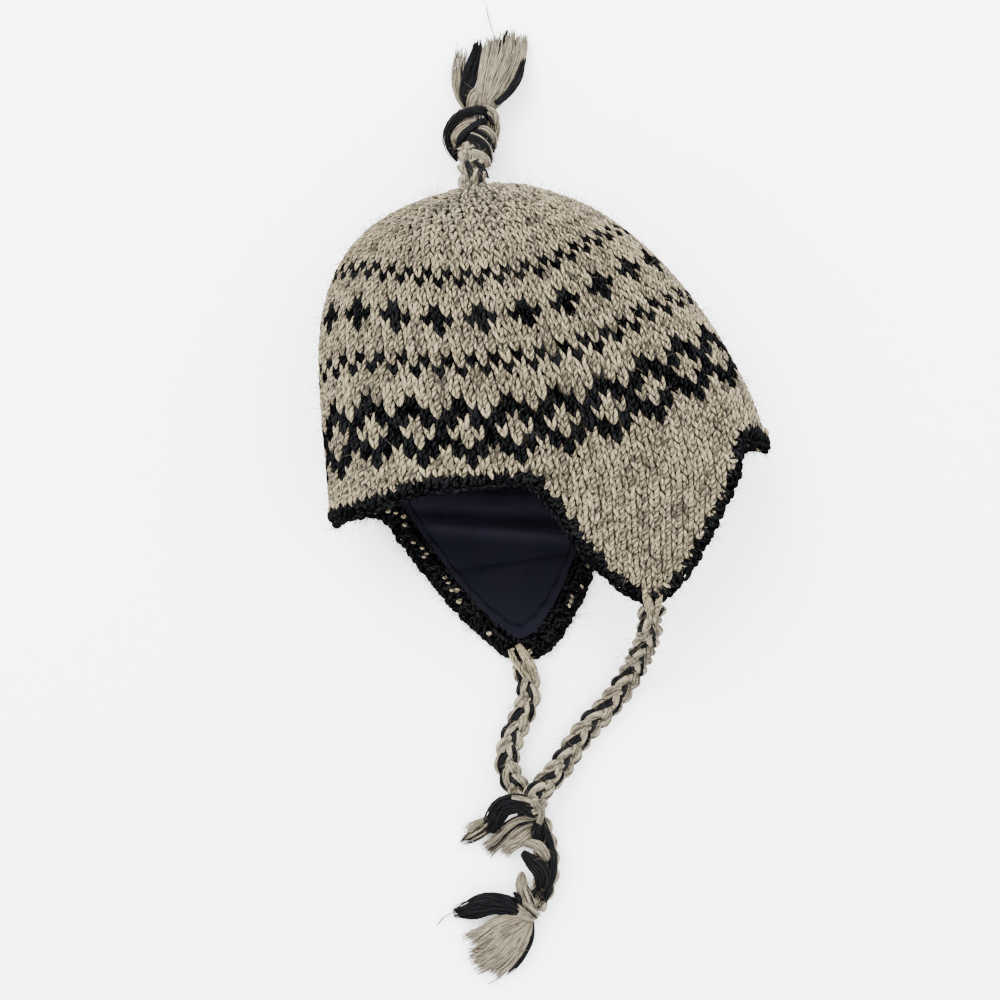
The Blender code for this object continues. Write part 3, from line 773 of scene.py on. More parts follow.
@dataclass
class Lining:
    """The fleece inside, with its sewn hem, its cross seam and the slack fold that the mouth shows."""

    cloth: Cloth
    wall: float = 0.0018
    depth: float = 0.0048          # from the outer surface to the lining's back
    inset: float = 0.0060
    hem: float = 0.0060            # from the lining's edge to the hem's stitching
    seam: tuple[Point, Point] = ((-0.0457, -0.1237, 0.0060), (0.0162, -0.1139, 0.0060))
    fold: tuple[Point, Point] = ((-0.0558, -0.0993, 0.0120), (-0.0030, -0.1034, 0.0120))
    shelf: tuple[Point, Point] = ((-0.0583, -0.0860, 0.0140), (-0.0123, -0.0875, 0.0140))
    fold_size: tuple[float, float] = (0.0038, 0.0042)       # half width and height
    shelf_size: tuple[float, float] = (0.0058, 0.0030)       # the same, for the painted-lit slack under the arch
    puckering: float = 430.0       # radians of pucker round the whole hem
    stations: int = 300
    rows: int = 118

    @staticmethod
    def beside(points: Array, line: tuple[Point, Point]) -> Array:
        """How far points lie to one side of a line in plan."""
        (x0, y0, _), (x1, y1, _) = line
        length = math.hypot(x1 - x0, y1 - y0)
        return ((points[..., 0] - x0) * (y1 - y0) - (points[..., 1] - y0) * (x1 - x0)) / length

    def build(self, fleece: bpy.types.Material) -> bpy.types.Object:
        """Build the lining's face and its rolled edge.

        The face stands in by hollows of waves plus two rounded folds, e^-(d/3.8 mm)^2 and e^-(d/5.8 mm)^4,
        whose crests also get a painted highlight in the tone. It is drawn back along the seam by e^-(d/0.9
        mm)^2 and along the hem's puckered stitching by e^-(d/0.7 mm)^2.

        Args:
            fleece: its material.

        Returns:
            The piece.
        """
        station = np.arange(self.stations) / self.stations
        share = np.concatenate([np.linspace(0.004, 0.58, 30), np.linspace(0.59, 1.0, self.rows - 30)])
        edge = self.cloth.inset(station, self.inset)[:, None]
        reach = edge * share
        flat, _ = self.cloth.lifted(station[:, None], reach, -self.depth - self.wall)
        inside = edge - reach
        lower = (station > 0.5)[:, None] * np.ones_like(reach)
        fold = lower * np.exp(-(self.beside(flat, self.fold) / self.fold_size[0]) ** 2) * self.fold_size[1]
        shelf = lower * np.exp(-(self.beside(flat, self.shelf) / self.shelf_size[0]) ** 4) * self.shelf_size[1]
        gathers = np.sin(station * self.puckering)[:, None]
        hem = self.hem * (0.8 + 0.2 * lower) + 0.0007 * gathers * lower
        waves = (np.sin(flat[..., 0] * 210.0 + 1.5 * np.sin(flat[..., 1] * 130.0)) * 0.0005
                 + np.sin(flat[..., 1] * 160.0 + 2.0 * np.sin(flat[..., 0] * 70.0)) * 0.0006)
        sewn = (np.exp(-(self.beside(flat, self.seam) / 0.0009) ** 2) * lower * (inside > hem)
                * (inside < 0.09))
        stitched = np.exp(-((inside - hem) / 0.0007) ** 2)
        pucker = 0.0004 * gathers * np.exp(-((inside - hem) / 0.0030) ** 2)
        quiet = np.clip(inside / 0.012, 0.0, 1.0)
        height = ((fold + shelf + waves) * quiet + pucker - 0.0007 * sewn - 0.0009 * stitched
                  + 0.0005 * (inside < hem))
        height = np.clip(height, -0.0012, None)
        face, _ = self.cloth.lifted(station[:, None], reach, -self.depth - self.wall - height)
        # painted highlight: the fold's and the shelf's crests are painted paler than the rest of the face
        painted_highlight = 1.40 * fold / self.fold_size[1] + 1.00 * shelf / self.shelf_size[1]
        tone = 0.70 + painted_highlight * quiet + 0.22 * (inside < hem) - 0.65 * sewn - 0.80 * stitched
        roll = [self.cloth.lifted(station, edge[:, 0] + out, -self.depth - self.wall * keep)[0]
                for out, keep in ((0.0007, 0.85), (0.0010, 0.5), (0.0006, 0.1), (-0.0030, 0.0))]
        points = np.concatenate([face, np.stack(roll, axis=1)], axis=1)
        tones = np.concatenate([tone, np.full((self.stations, 4), 0.7)], axis=1)
        quads = grid_faces(self.stations, points.shape[1], closed=True)[:, ::-1]
        piece = new_piece("lining", points.reshape(-1, 3), quads, [fleece], np.clip(tones, 0.0, 2.0).ravel())
        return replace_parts(piece, "fleece_lining")


# --- the crocheted edge -----------------------------------------------------------------------------


@dataclass
class Edging:
    """The charcoal crochet round the whole knitted edge, with the bumps that it leaves inside."""

    cloth: Cloth
    width: float = 0.0070
    thickness: float = 0.0050
    pitch: float = 0.0043
    yarn_radius: float = 0.00125
    seed: int = 5
    spots: tuple[Array, Array] = field(init=False)

    def places(self, count_per_pitch: float = 1.0) -> Array:
        """Stations at even steps along the edge."""
        fine = np.linspace(0.0, 1.0, 4001)
        edge = self.cloth.edge_frame(fine)[0]
        along = np.concatenate([[0.0], np.cumsum(np.linalg.norm(np.diff(edge, axis=0), axis=1))])
        count = round(along[-1] / self.pitch * count_per_pitch)
        return np.interp(np.arange(count) / count * along[-1], along, fine)

    def grains(self, bundle: Bundle, station: Array, route: tuple[Point, ...], radius: float,
               yarn: Yarn = Yarn.CHARCOAL, wobble: float = 0.0004, tone: float = 0.45) -> None:
        """Repeat one short yarn at each station: a smooth route of (along, away, out) steps in metres.

        Args:
            bundle: what the yarns are added to.
            station: where they go.
            route: the route's points.
            radius: the yarn's radius at its middle.
            yarn: which yarn it is.
            wobble: how unevenly it is worked.
            tone: how pale it is.
        """
        rng = np.random.default_rng(self.seed + len(bundle.vertices))
        edge, out, away, along = self.cloth.edge_frame(station)
        route_at = smooth_path(np.array(route), 5)[None] + rng.normal(0.0, wobble, (len(station), 1, 3))
        paths = (edge[:, None] + along[:, None] * route_at[..., :1] + away[:, None] * route_at[..., 1:2]
                 + out[:, None] * route_at[..., 2:])
        t = np.linspace(0.0, 1.0, 5)
        uneven = 1.0 + rng.normal(0.0, 0.08, (len(station), 1))
        size = radius * uneven * (0.5 + 0.5 * np.sin(math.pi * t) ** 0.7)
        tones = np.clip(rng.normal(tone, 0.16, len(station)), 0.0, 1.0)
        bundle.add(paths, size, out[:, None], sides=5, tone=tones, yarn=yarn.value,
                   seed=self.seed + len(bundle.vertices))

    def build(self, wool: bpy.types.Material, dark: bpy.types.Material) -> bpy.types.Object:
        """Build the filling, the crochet's posts and chain, and the inner border with its pale dots.

        Args:
            wool: the natural material.
            dark: the charcoal material.

        Returns:
            The piece.
        """
        rng = np.random.default_rng(self.seed)
        bundle = Bundle()
        fine = self.places(2.0)
        closed = np.append(fine, fine[0])
        edge, out, away, _ = self.cloth.edge_frame(closed)
        middle = self.thickness / 2.0
        core = edge + away * self.width * 0.42 - out * middle
        bundle.add(core[None], np.full((1, 1), self.width * 0.33), out[None], sides=8, flat=0.66, tone=0.2,
                   yarn=Yarn.CHARCOAL.value)
        station = self.places()
        half = station + 0.5 * np.append(np.diff(station), 1.0 - station[-1] + station[0])
        routes = []
        for top in (0.0004, -self.thickness - 0.0001):
            tuck = top - 0.2 * (top + middle)
            routes += [(station, ((-0.0018, -0.0022, top), (-0.0006, 0.0014, top), (0.0012, 0.0044, tuck))),
                       (station, ((0.0020, -0.0016, top), (0.0010, 0.0018, top), (-0.0010, 0.0042, tuck)))]
        routes += [(station, ((-0.0030, 0.0046, -0.0032), (0.0, 0.0064, -0.0014), (0.0030, 0.0048, -0.0008))),
                   (half, ((-0.0030, 0.0048, -0.0012), (0.0, 0.0062, -0.0034), (0.0030, 0.0046, -0.0044)))]
        for places, route in routes:
            self.grains(bundle, places, route, self.yarn_radius)
        inner = -0.0050
        for inset in (0.0006, 0.0034, 0.0058):
            self.grains(bundle, station if inset < 0.003 else half,
                        ((-0.0022, -inset - 0.0008, inner), (0.0, -inset + 0.0002, inner - 0.0008),
                         (0.0022, -inset - 0.0008, inner)), self.yarn_radius * 1.05)
        for chance, size in ((0.42, 0.0008), (0.28, 0.0012)):
            dots = half[rng.random(len(half)) < chance]
            self.grains(bundle, dots, ((-0.0005, 0.0003, inner - 0.0009), (0.0, 0.0011, inner - 0.0018),
                                       (0.0006, 0.0020, inner - 0.0010)), size, Yarn.NATURAL, 0.0013, 0.45)
        tufts = half[rng.random(len(half)) < 0.25]
        tuft = ((-0.0006, -0.0032, 0.0003), (0.0, -0.0008, 0.0013), (0.0004, 0.0012, 0.0010))
        self.grains(bundle, tufts, tuft, 0.0011, Yarn.NATURAL, 0.0006, 0.55)
        self.spots = (core + away * 0.002, unit(away + 0.4 * out))
        piece = bundle.made("crochet_edge", [wool, dark])
        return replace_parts(piece, "crochet_edging")


# --- braids, wraps and tassels ----------------------------------------------------------------------

LEFT_TIE_STEPS = (
    (-0.0028, -0.0068, 0.0437), (-0.0022, -0.0158, 0.0350), (-0.0044, -0.0253, 0.0230),
    (-0.0067, -0.0333, 0.0135), (-0.0102, -0.0408, 0.0080), (-0.0149, -0.0483, 0.0062),
    (-0.0222, -0.0576, 0.0062), (-0.0300, -0.0653, 0.0062), (-0.0367, -0.0741, 0.0062),
    (-0.0429, -0.0834, 0.0068), (-0.0492, -0.0909, 0.0105), (-0.0560, -0.0970, 0.0160),
    (-0.0596, -0.1010, 0.0190),
)
RIGHT_TIE_STEPS = (
    (0.0026, -0.0060, 0.0062), (0.0036, -0.0120, 0.0062), (0.0032, -0.0190, 0.0062),
    (0.0002, -0.0278, 0.0062), (-0.0043, -0.0372, 0.0062), (-0.0069, -0.0459, 0.0062),
    (-0.0069, -0.0542, 0.0062), (-0.0038, -0.0619, 0.0062), (0.0006, -0.0692, 0.0062),
    (0.0054, -0.0769, 0.0062), (0.0095, -0.0851, 0.0062), (0.0123, -0.0939, 0.0062),
    (0.0135, -0.1027, 0.0062), (0.0125, -0.1119, 0.0062), (0.0094, -0.1197, 0.0066),
    (0.0066, -0.1245, 0.0070),
)
TOP_BRAID_STEPS = (
    (-0.0010, 0.0054, 0.0366), (-0.0007, 0.0141, 0.0290), (-0.0004, 0.0231, 0.0180),
    (-0.0016, 0.0291, 0.0145),
)


@dataclass
class Braid:
    """Three strands of laid yarns that cross in turn along a route."""

    name: str
    node: str
    route: Array
    diameter: float = 0.012
    crossing: float = 0.0245        # the way along in which a strand comes back to its place
    yarns: int = 8                  # in a strand
    charcoal: tuple[tuple[int, int], ...] = ((0, 1), (0, 2), (1, 6), (2, 0), (2, 3))   # strand and yarn
    seed: int = 3
    step: float = 0.0015            # between a yarn's points
    strand_share: float = 0.28      # a strand's radius over the braid's diameter
    yarn_share: float = 0.36        # a yarn's radius over its strand's
    spots: tuple[Array, Array] = field(init=False)

    def build(self, materials: list[bpy.types.Material]) -> bpy.types.Object:
        """Lay the yarns: side = a sin p and height = b sin 2p, with p a third of a turn apart.

        Args:
            materials: the natural and the charcoal material.

        Returns:
            The piece.
        """
        rng = np.random.default_rng(self.seed)
        length = np.linalg.norm(np.diff(self.route, axis=0), axis=1).sum()
        count = max(24, round(length / self.step))
        path = smooth_path(self.route, count)
        ahead = unit(np.gradient(path, axis=0))
        side = unit(np.cross(ahead, (0.0, 0.0, 1.0)))
        top = np.cross(side, ahead)
        along = np.linspace(0.0, length, count)
        strand_radius = self.diameter * self.strand_share
        close = 0.75 + 0.25 * np.sin(math.pi * np.linspace(0.04, 0.96, count)) ** 0.3
        bundle = Bundle()
        for strand in range(3):
            phase = 2.0 * math.pi * (along / self.crossing + strand / 3.0)
            centre = (path + side * (self.diameter * 0.300 * np.sin(phase) * close)[:, None]
                      + top * (self.diameter * 0.13 * np.sin(2.0 * phase))[:, None])
            for yarn in range(self.yarns):
                turn = 2.0 * math.pi * yarn / self.yarns + 0.7 * np.sin(phase) + rng.normal(0.0, 0.2)
                loose = strand_radius * (0.66 + 0.05 * np.sin(along * 260.0 + rng.random() * 6.0))
                line = (centre + side * (loose * np.cos(turn))[:, None]
                        + top * (loose * 0.85 * np.sin(turn))[:, None])
                kind = Yarn.CHARCOAL if (strand, yarn) in self.charcoal else Yarn.NATURAL
                radius = np.full((1, 1), strand_radius * self.yarn_share) * rng.uniform(0.9, 1.08)
                bundle.add(line[None], radius, top[None], sides=7, tone=0.5 + rng.normal(0.0, 0.16),
                           yarn=kind.value, seed=self.seed + yarn)
        self.spots = (path + side * rng.normal(0.0, 0.004, count)[:, None], top)
        piece = bundle.made(self.name, materials)
        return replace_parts(piece, self.node)


@dataclass(frozen=True)
class Lock:
    """One lock of loose yarns: where it runs, how wide it is and which wool it is."""

    points: tuple[tuple[int, int, int], ...]      # in tenths of a millimetre
    radius: float
    yarn: Yarn = Yarn.NATURAL
    strands: int = 26
    flat: float = 0.6
    spread: float = 1.0             # its end's width over its middle's
    gather: float = 0.45            # its start's width over its middle's
    mixed: float = 0.0              # the share of the other wool in it
    thin: float = 1.0               # how thick a strand is beside the usual

    def lay(self, bundle: Bundle, rng: np.random.Generator) -> Array:
        """Add the lock's strands, spread over its section and waved along their way.

        Args:
            bundle: what they are added to.
            rng: the chance that lays them.

        Returns:
            The strands' outer halves, which loose fibres leave from.
        """
        count, strands = 13, round(1.6 * self.strands)
        path = smooth_path(np.array(self.points) / TENTHS, count)
        ahead = unit(np.gradient(path, axis=0))
        side = unit(np.cross(ahead, (0.0, 0.0, 1.0)))
        top = np.cross(side, ahead)
        t = np.linspace(0.0, 1.0, count)
        swell = np.where(t < 0.5, self.gather + (1.0 - self.gather) * np.sin(math.pi * t) ** 0.8,
                         self.spread + (1.0 - self.spread) * np.sin(math.pi * t) ** 0.8)
        radius = np.sqrt(rng.random(strands)) * (self.radius - 0.0006)
        angle = rng.random(strands) * 2.0 * math.pi
        phase = rng.random((2, strands, 1)) * 6.3
        wave = 0.10 * self.radius * np.sin(t * 9.0 + phase) * t
        across = radius[:, None] * np.cos(angle)[:, None] * swell + wave[0]
        high = radius[:, None] * np.sin(angle)[:, None] * swell * self.flat + wave[1] * 0.6
        lines = path + side * across[..., None] + top * high[..., None]
        ends = 1.0 - rng.random((strands, 1)) * 0.16
        lines = lines[:, :1] + (lines - lines[:, :1]) * (1.0 - (1.0 - ends) * t**2)[..., None]
        lines[..., 2] = np.maximum(lines[..., 2], 0.0007)
        thick = (0.00050 * self.thin * rng.uniform(0.75, 1.25, (strands, 1))
                 * (0.85 + 0.3 * np.sin(math.pi * t)) * (1.0 - 0.72 * t**5))
        other = rng.random(strands) < self.mixed
        kinds = np.where(other, 1 - self.yarn.value, self.yarn.value)
        bundle.add(lines, thick, np.broadcast_to(top, lines.shape), sides=4,
                   tone=np.clip(rng.normal(0.52, 0.17, strands), 0.0, 1.0), yarn=kinds,
                   seed=int(rng.integers(999)))
        return lines[:, count // 3:]


C, N = Yarn.CHARCOAL, Yarn.NATURAL      # short names for the tables of locks
LEFT_WRAP = (
    Lock(((-58, -2447, 200), (-16, -2428, 140), (-9, -2399, 80)), 0.0020, N, 8, 0.8, 0.8, 0.8),
    Lock(((-164, -2373, 190), (-93, -2379, 210), (-27, -2418, 190), (-15, -2512, 130), (-55, -2595, 80)),
         0.0017, N, 7, 0.7, 0.7, 0.8),
    Lock(((4, -2422, 170), (-38, -2389, 210), (-82, -2422, 170)), 0.0030, N, 14, 0.8, 0.9, 0.9),
)
LEFT_TASSEL = (
    Lock(((-36, -2457, 150), (-113, -2410, 180), (-210, -2426, 150), (-261, -2508, 100), (-292, -2578, 60)),
         0.0054, C, 60, 0.62, 0.75, 0.75),
    Lock(((-225, -2465, 110), (-292, -2545, 70), (-370, -2609, 40), (-432, -2649, 20)), 0.0040, C, 22, 0.4,
         0.55, 0.7, 0.35, 0.7),
    Lock(((-194, -2443, 120), (-276, -2512, 80), (-349, -2550, 50), (-417, -2585, 30)), 0.0034, N, 18, 0.4,
         0.9, 0.7, 0.1, 0.7),
    Lock(((-35, -2508, 100), (-117, -2516, 110), (-199, -2579, 80), (-261, -2650, 40), (-308, -2691, 20)),
         0.0046, N, 40, 0.5, 1.1, 0.6, 0.12),
    Lock(((-40, -2533, 80), (-91, -2595, 80), (-163, -2646, 60), (-220, -2699, 30)), 0.0042, N, 34, 0.5,
         1.0, 0.6),
    Lock(((-72, -2510, 140), (-133, -2535, 120), (-189, -2580, 100)), 0.0007, C, 3, 1.0, 1.0, 1.0),
)
RIGHT_WRAP = (
    Lock(((-35, -2519, 120), (-41, -2561, 140), (-30, -2622, 120)), 0.0028, C, 18, 0.7, 1.3, 0.4),
    Lock(((-15, -2496, 110), (16, -2587, 115), (36, -2690, 115), (36, -2792, 115), (16, -2881, 110),
         (-19, -2978, 90)), 0.0037, C, 30, 0.6, 0.6, 0.5, 0.08),
    Lock(((-96, -2634, 90), (-46, -2625, 150), (-1, -2658, 165), (16, -2714, 120)), 0.0031, N, 24, 0.7, 0.6,
         0.6),
    Lock(((-107, -2682, 80), (-51, -2722, 130), (-5, -2781, 140), (-9, -2888, 100)), 0.0048, C, 50, 0.7,
         0.35, 0.35),
    Lock(((-111, -2790, 40), (-112, -2852, 80), (-81, -2927, 110), (-50, -2986, 100)), 0.0042, N, 36, 0.7,
         0.7, 0.2, 0.05),
    Lock(((-148, -2919, 60), (-107, -2945, 100), (-66, -2973, 110), (-29, -3007, 80)), 0.0042, N, 34, 0.7,
         0.8, 0.7, 0.1),
    Lock(((-137, -2960, 80), (-112, -2996, 120), (-56, -3014, 110), (-24, -2996, 60)), 0.0018, N, 10, 0.8,
         0.9, 0.9),
    Lock(((-153, -2886, 90), (-128, -2901, 130), (-117, -2945, 120)), 0.0014, C, 8, 0.8, 0.9, 0.9),
)
RIGHT_TASSEL = (
    Lock(((-102, -2983, 90), (-194, -2945, 100), (-287, -2945, 80), (-390, -2984, 50), (-474, -3005, 30)),
         0.0062, C, 70, 0.6, 0.40, 0.5),
    Lock(((-453, -2994, 30), (-515, -3028, 20), (-557, -3077, 10)), 0.0006, C, 3, 1.0, 1.0, 1.0, 0.0, 0.4),
    Lock(((-91, -3004, 90), (-204, -3042, 100), (-292, -3107, 70), (-380, -3176, 30)), 0.0062, N, 56, 0.5,
         1.5, 0.4, 0.04),
    Lock(((-86, -3014, 90), (-179, -3104, 100), (-271, -3210, 70), (-365, -3279, 30)), 0.0066, N, 66, 0.5,
         1.45, 0.4, 0.02),
    Lock(((-76, -3024, 90), (-117, -3117, 90), (-189, -3229, 60), (-277, -3315, 30)), 0.0056, N, 52, 0.5,
         1.3, 0.4),
    Lock(((-65, -3022, 80), (-71, -3120, 80), (-117, -3224, 60), (-194, -3326, 30)), 0.0026, C, 22, 0.7,
         0.7, 0.6),
    Lock(((-194, -3310, 30), (-246, -3355, 20), (-303, -3384, 10)), 0.0006, C, 3, 1.0, 1.0, 1.0, 0.0, 0.4),
)
TOP_WRAP = (
    Lock(((-389, 1127, 100), (-399, 1053, 110), (-379, 969, 120), (-338, 897, 120)), 0.0072, N, 38, 0.7,
         0.9, 0.9),
    Lock(((-297, 1138, 100), (-276, 1053, 110), (-286, 969, 120), (-317, 887, 120)), 0.0055, N, 26, 0.8,
         0.9, 0.9),
    Lock(((-266, 1081, 120), (-301, 1112, 180), (-367, 1107, 200), (-448, 1074, 190), (-494, 995, 180),
         (-485, 916, 170), (-445, 862, 140)), 0.0029, C, 28, 0.8, 0.7, 0.9, 0.04),
    Lock(((-347, 1062, 200), (-423, 1021, 200), (-459, 968, 190), (-449, 914, 180)), 0.0021, N, 14, 0.8,
         0.6, 0.7),
    Lock(((-301, 1057, 200), (-367, 1006, 220), (-422, 957, 215), (-449, 919, 180)), 0.0030, C, 26, 0.8,
         0.6, 0.8, 0.04),
    Lock(((-356, 913, 275), (-396, 895, 265), (-428, 857, 210)), 0.0012, N, 7, 0.9, 0.8, 0.8),
    Lock(((-381, 882, 275), (-406, 841, 260), (-417, 794, 240)), 0.0021, C, 14, 0.8, 0.5, 0.7),
    Lock(((-376, 962, 255), (-320, 920, 285), (-290, 875, 285), (-270, 830, 240)), 0.0028, C, 22, 0.8, 0.7,
         0.8, 0.04),
    Lock(((-371, 979, 250), (-321, 950, 265), (-275, 900, 265), (-255, 845, 240)), 0.0014, N, 8, 0.9, 0.8,
         0.8),
    Lock(((-346, 999, 230), (-296, 967, 235), (-265, 926, 215), (-255, 894, 180)), 0.0016, C, 10, 0.9, 0.8,
         0.8),
    Lock(((-336, 1017, 215), (-291, 1006, 220), (-255, 968, 190), (-251, 921, 150)), 0.0022, N, 16, 0.8,
         0.8, 0.8),
    Lock(((-312, 1130, 170), (-261, 1102, 180), (-245, 1044, 170), (-256, 982, 150)), 0.0026, N, 18, 0.8,
         0.8, 0.8),
    Lock(((-281, 1083, 195), (-261, 1043, 195), (-255, 1006, 180)), 0.0010, C, 5, 0.9, 0.8, 0.8),
    Lock(((-365, 872, 320), (-305, 837, 345), (-275, 790, 330)), 0.0024, N, 18, 0.8, 0.8, 0.8),
    Lock(((-354, 817, 365), (-309, 772, 390), (-279, 725, 380)), 0.0016, C, 10, 0.8, 0.7, 0.8),
    Lock(((-395, 812, 320), (-374, 763, 365), (-359, 718, 390)), 0.0030, N, 22, 0.7, 0.8, 0.7, 0.06),
)
TOP_TASSEL = (
    Lock(((-389, 1151, 130), (-404, 1212, 130), (-379, 1312, 100), (-349, 1432, 60), (-339, 1520, 40)),
         0.0046, C, 50, 0.6, 0.4, 0.4),
    Lock(((-379, 1127, 100), (-431, 1235, 80), (-442, 1354, 60), (-427, 1487, 30)), 0.0042, N, 26, 0.4, 0.9,
         0.6, 0.06, 0.55),
    Lock(((-378, 1130, 130), (-358, 1191, 150), (-307, 1240, 140)), 0.0032, N, 22, 0.7, 1.0, 0.7),
    Lock(((-317, 1138, 140), (-302, 1250, 140), (-276, 1397, 90), (-256, 1536, 40)), 0.0054, N, 54, 0.5,
         0.85, 0.5, 0.02),
    Lock(((-297, 1138, 140), (-245, 1260, 140), (-199, 1408, 90), (-173, 1567, 40)), 0.0058, N, 60, 0.5,
         0.85, 0.5, 0.03),
    Lock(((-271, 1140, 130), (-189, 1258, 110), (-132, 1393, 70), (-101, 1549, 30)), 0.0048, N, 46, 0.5,
         0.7, 0.5, 0.02),
    Lock(((-250, 1158, 160), (-194, 1199, 160), (-138, 1286, 140), (-96, 1408, 90)), 0.0026, C, 20, 0.7,
         0.4, 0.6),
    Lock(((-225, 1472, 80), (-199, 1519, 60), (-184, 1567, 40)), 0.0014, C, 8, 0.7, 0.7, 0.5),
    Lock(((-256, 1536, 40), (-287, 1646, 20), (-303, 1732, 10)), 0.0005, N, 3, 1.0, 1.0, 1.0, 0.0, 0.4),
)
LEFT_ROOT = (
    Lock(((477, -1294, 505), (489, -1341, 530), (506, -1396, 500), (519, -1466, 420)), 0.0024, N, 12, 0.7,
         1.1, 0.8),
    Lock(((555, -1289, 500), (548, -1341, 525), (541, -1402, 490), (535, -1467, 410)), 0.0022, N, 10, 0.7,
         1.1, 0.8),
)
RIGHT_ROOT = (
    Lock(((-132, -1612, 70), (-102, -1661, 100), (-66, -1710, 120), (-45, -1774, 100)), 0.0026, N, 14, 0.7,
         1.1, 0.7),
    Lock(((-173, -1638, 70), (-153, -1681, 100), (-122, -1727, 110), (-86, -1784, 100)), 0.0023, N, 12, 0.7,
         1.1, 0.7),
)




@dataclass
class Locks:
    """A knot's wraps or a tassel, made of locks."""

    name: str
    locks: tuple[Lock, ...]
    node: str | None = None
    seed: int = 7
    slot: str = "tassel_wool"
    spots: list[Array] = field(default_factory=list)

    def build(self, materials: list[bpy.types.Material]) -> bpy.types.Object:
        """Lay every lock into one piece.

        Args:
            materials: the natural and the charcoal material.

        Returns:
            The piece.
        """
        rng = np.random.default_rng(self.seed)
        bundle = Bundle()
        self.spots = [lock.lay(bundle, rng) for lock in self.locks]
        piece = bundle.made(self.name, materials)
        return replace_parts(piece, self.node) if self.node else piece


# --- loose fibres -----------------------------------------------------------------------------------


@dataclass
class Fuzz:
    """Fine fibres that stand off the wool."""

    name: str
    slot: str
    radius: float = 0.000095
    seed: int = 21
    lowest: float = 0.0002          # where the surface it lies on stops a fibre
    highest: float = 0.0985
    bundle: Bundle = field(default_factory=Bundle)

    def add(self, roots: Array, out: Array, count: int, length: float, lift: float = 0.5,
            yarn: Yarn = Yarn.NATURAL) -> None:
        """Add fibres that leave their roots outwards and bend over.

        A fibre's points are root + length (t lift out + t way + 0.8 t^2 bend).

        Args:
            roots: places that fibres may leave from, [place, axis].
            out: the ways out there.
            count: how many fibres there are.
            length: their usual length.
            lift: how far they stand off, as a share of their length.
            yarn: which wool they are.
        """
        rng = np.random.default_rng(self.seed + self.bundle.count)
        pick = rng.integers(len(roots), size=count)
        t = np.linspace(0.0, 1.0, 3)[:, None]
        long = (length * rng.uniform(0.45, 1.3, count))[:, None, None]
        way, bend = rng.normal(0.0, 0.45, (2, count, 1, 3))
        rise = (out[pick] * rng.uniform(0.3, 1.4, (count, 1)) * lift)[:, None]
        root = roots[pick] + rng.normal(0.0, 0.0011, (count, 3))
        paths = root[:, None] + long * (t * (rise + way) + t**2 * bend * 0.8)
        paths[..., 2] = np.clip(paths[..., 2], self.lowest, self.highest)
        self.bundle.add(paths, self.radius * (1.1 - 0.7 * t[:, 0]), np.array((0.31, 0.22, 0.92)), sides=4,
                        tone=rng.uniform(0.1, 0.8, count), yarn=yarn.value)

    def build(self, materials: list[bpy.types.Material]) -> bpy.types.Object:
        """Put the fibres into one piece."""
        return self.bundle.made(self.name, materials)


# --- studio -----------------------------------------------------------------------------------------


@dataclass(frozen=True)
class Studio:
    """A pale floor, soft light and the photograph's camera, which looks straight down."""

    camera: Point = (-0.0225, -0.0865, 0.80)
    view_angle: float = 36.0
    floor: Colour = (0.96, 0.962, 0.96)
    floor_reach: float = 3.0
    floor_level: float = -0.0004
    sky: float = 5.0

    def build(self) -> None:
        """Place the camera, the floor and the lights."""
        scene = bpy.context.scene
        camera = bpy.data.objects.new("camera", bpy.data.cameras.new("camera"))
        camera.location = self.camera
        camera.data.sensor_fit = "HORIZONTAL"
        camera.data.angle = math.radians(self.view_angle)
        camera.data.clip_start = 0.01
        scene.collection.objects.link(camera)
        scene.camera = camera

        mesh = bpy.data.meshes.new("floor")
        corners = [(x * self.floor_reach, y * self.floor_reach, self.floor_level)
                   for x, y in ((-1, -1), (1, -1), (1, 1), (-1, 1))]
        mesh.from_pydata(corners, [], [(0, 1, 2, 3)])
        floor = bpy.data.objects.new("floor", mesh)
        scene.collection.objects.link(floor)
        paper = bpy.data.materials.new("pale_paper")
        paper.use_nodes = True
        shader = paper.node_tree.nodes["Principled BSDF"]
        shader.inputs["Base Color"].default_value = (*self.floor, 1.0)
        shader.inputs["Roughness"].default_value = 0.9
        shader.inputs["Specular IOR Level"].default_value = 0.1
        mesh.materials.append(paper)

        world = bpy.data.worlds.new("soft_sky")
        world.use_nodes = True
        world.node_tree.nodes["Background"].inputs[0].default_value = (0.97, 0.985, 1.0, 1.0)
        world.node_tree.nodes["Background"].inputs[1].default_value = self.sky
        scene.world = world
        for name, place, aim, size, power in (("key", (-0.7, 0.9, 1.3), (-0.02, -0.05, 0.0), 1.1, 84.0),
                                              ("fill", (0.9, 0.4, 1.2), (0.0, -0.05, 0.0), 1.2, 27.0)):
            light = bpy.data.objects.new(name, bpy.data.lights.new(name, "AREA"))
            light.data.size = size
            light.data.energy = power
            light.location = place
            way = np.array(aim) - np.array(place)
            light.rotation_euler = (math.acos(-way[2] / np.linalg.norm(way)), 0.0,
                                    math.atan2(way[1], way[0]) - math.pi / 2.0)
            scene.collection.objects.link(light)


def flap_tip(cloth: Cloth, middle: float, edging: Edging, diameter: float) -> Array:
    """Where a tie meets the edging at a flap's tip, at the height that its braid needs."""
    edge, out, away, _ = cloth.edge_frame(np.array([middle]))
    tip = (edge + away * (2.0 * CLEARANCE + edging.width) - out * edging.thickness / 2.0)[0]
    tip[2] = max(tip[2], diameter / 2.0 + CLEARANCE)
    return tip


def route_from(start: Array, steps: tuple[Point, ...]) -> Array:
    """A route's points, from its start and its plan steps from there."""
    return np.vstack([start, [(start[0] + x, start[1] + y, z) for x, y, z in steps]])


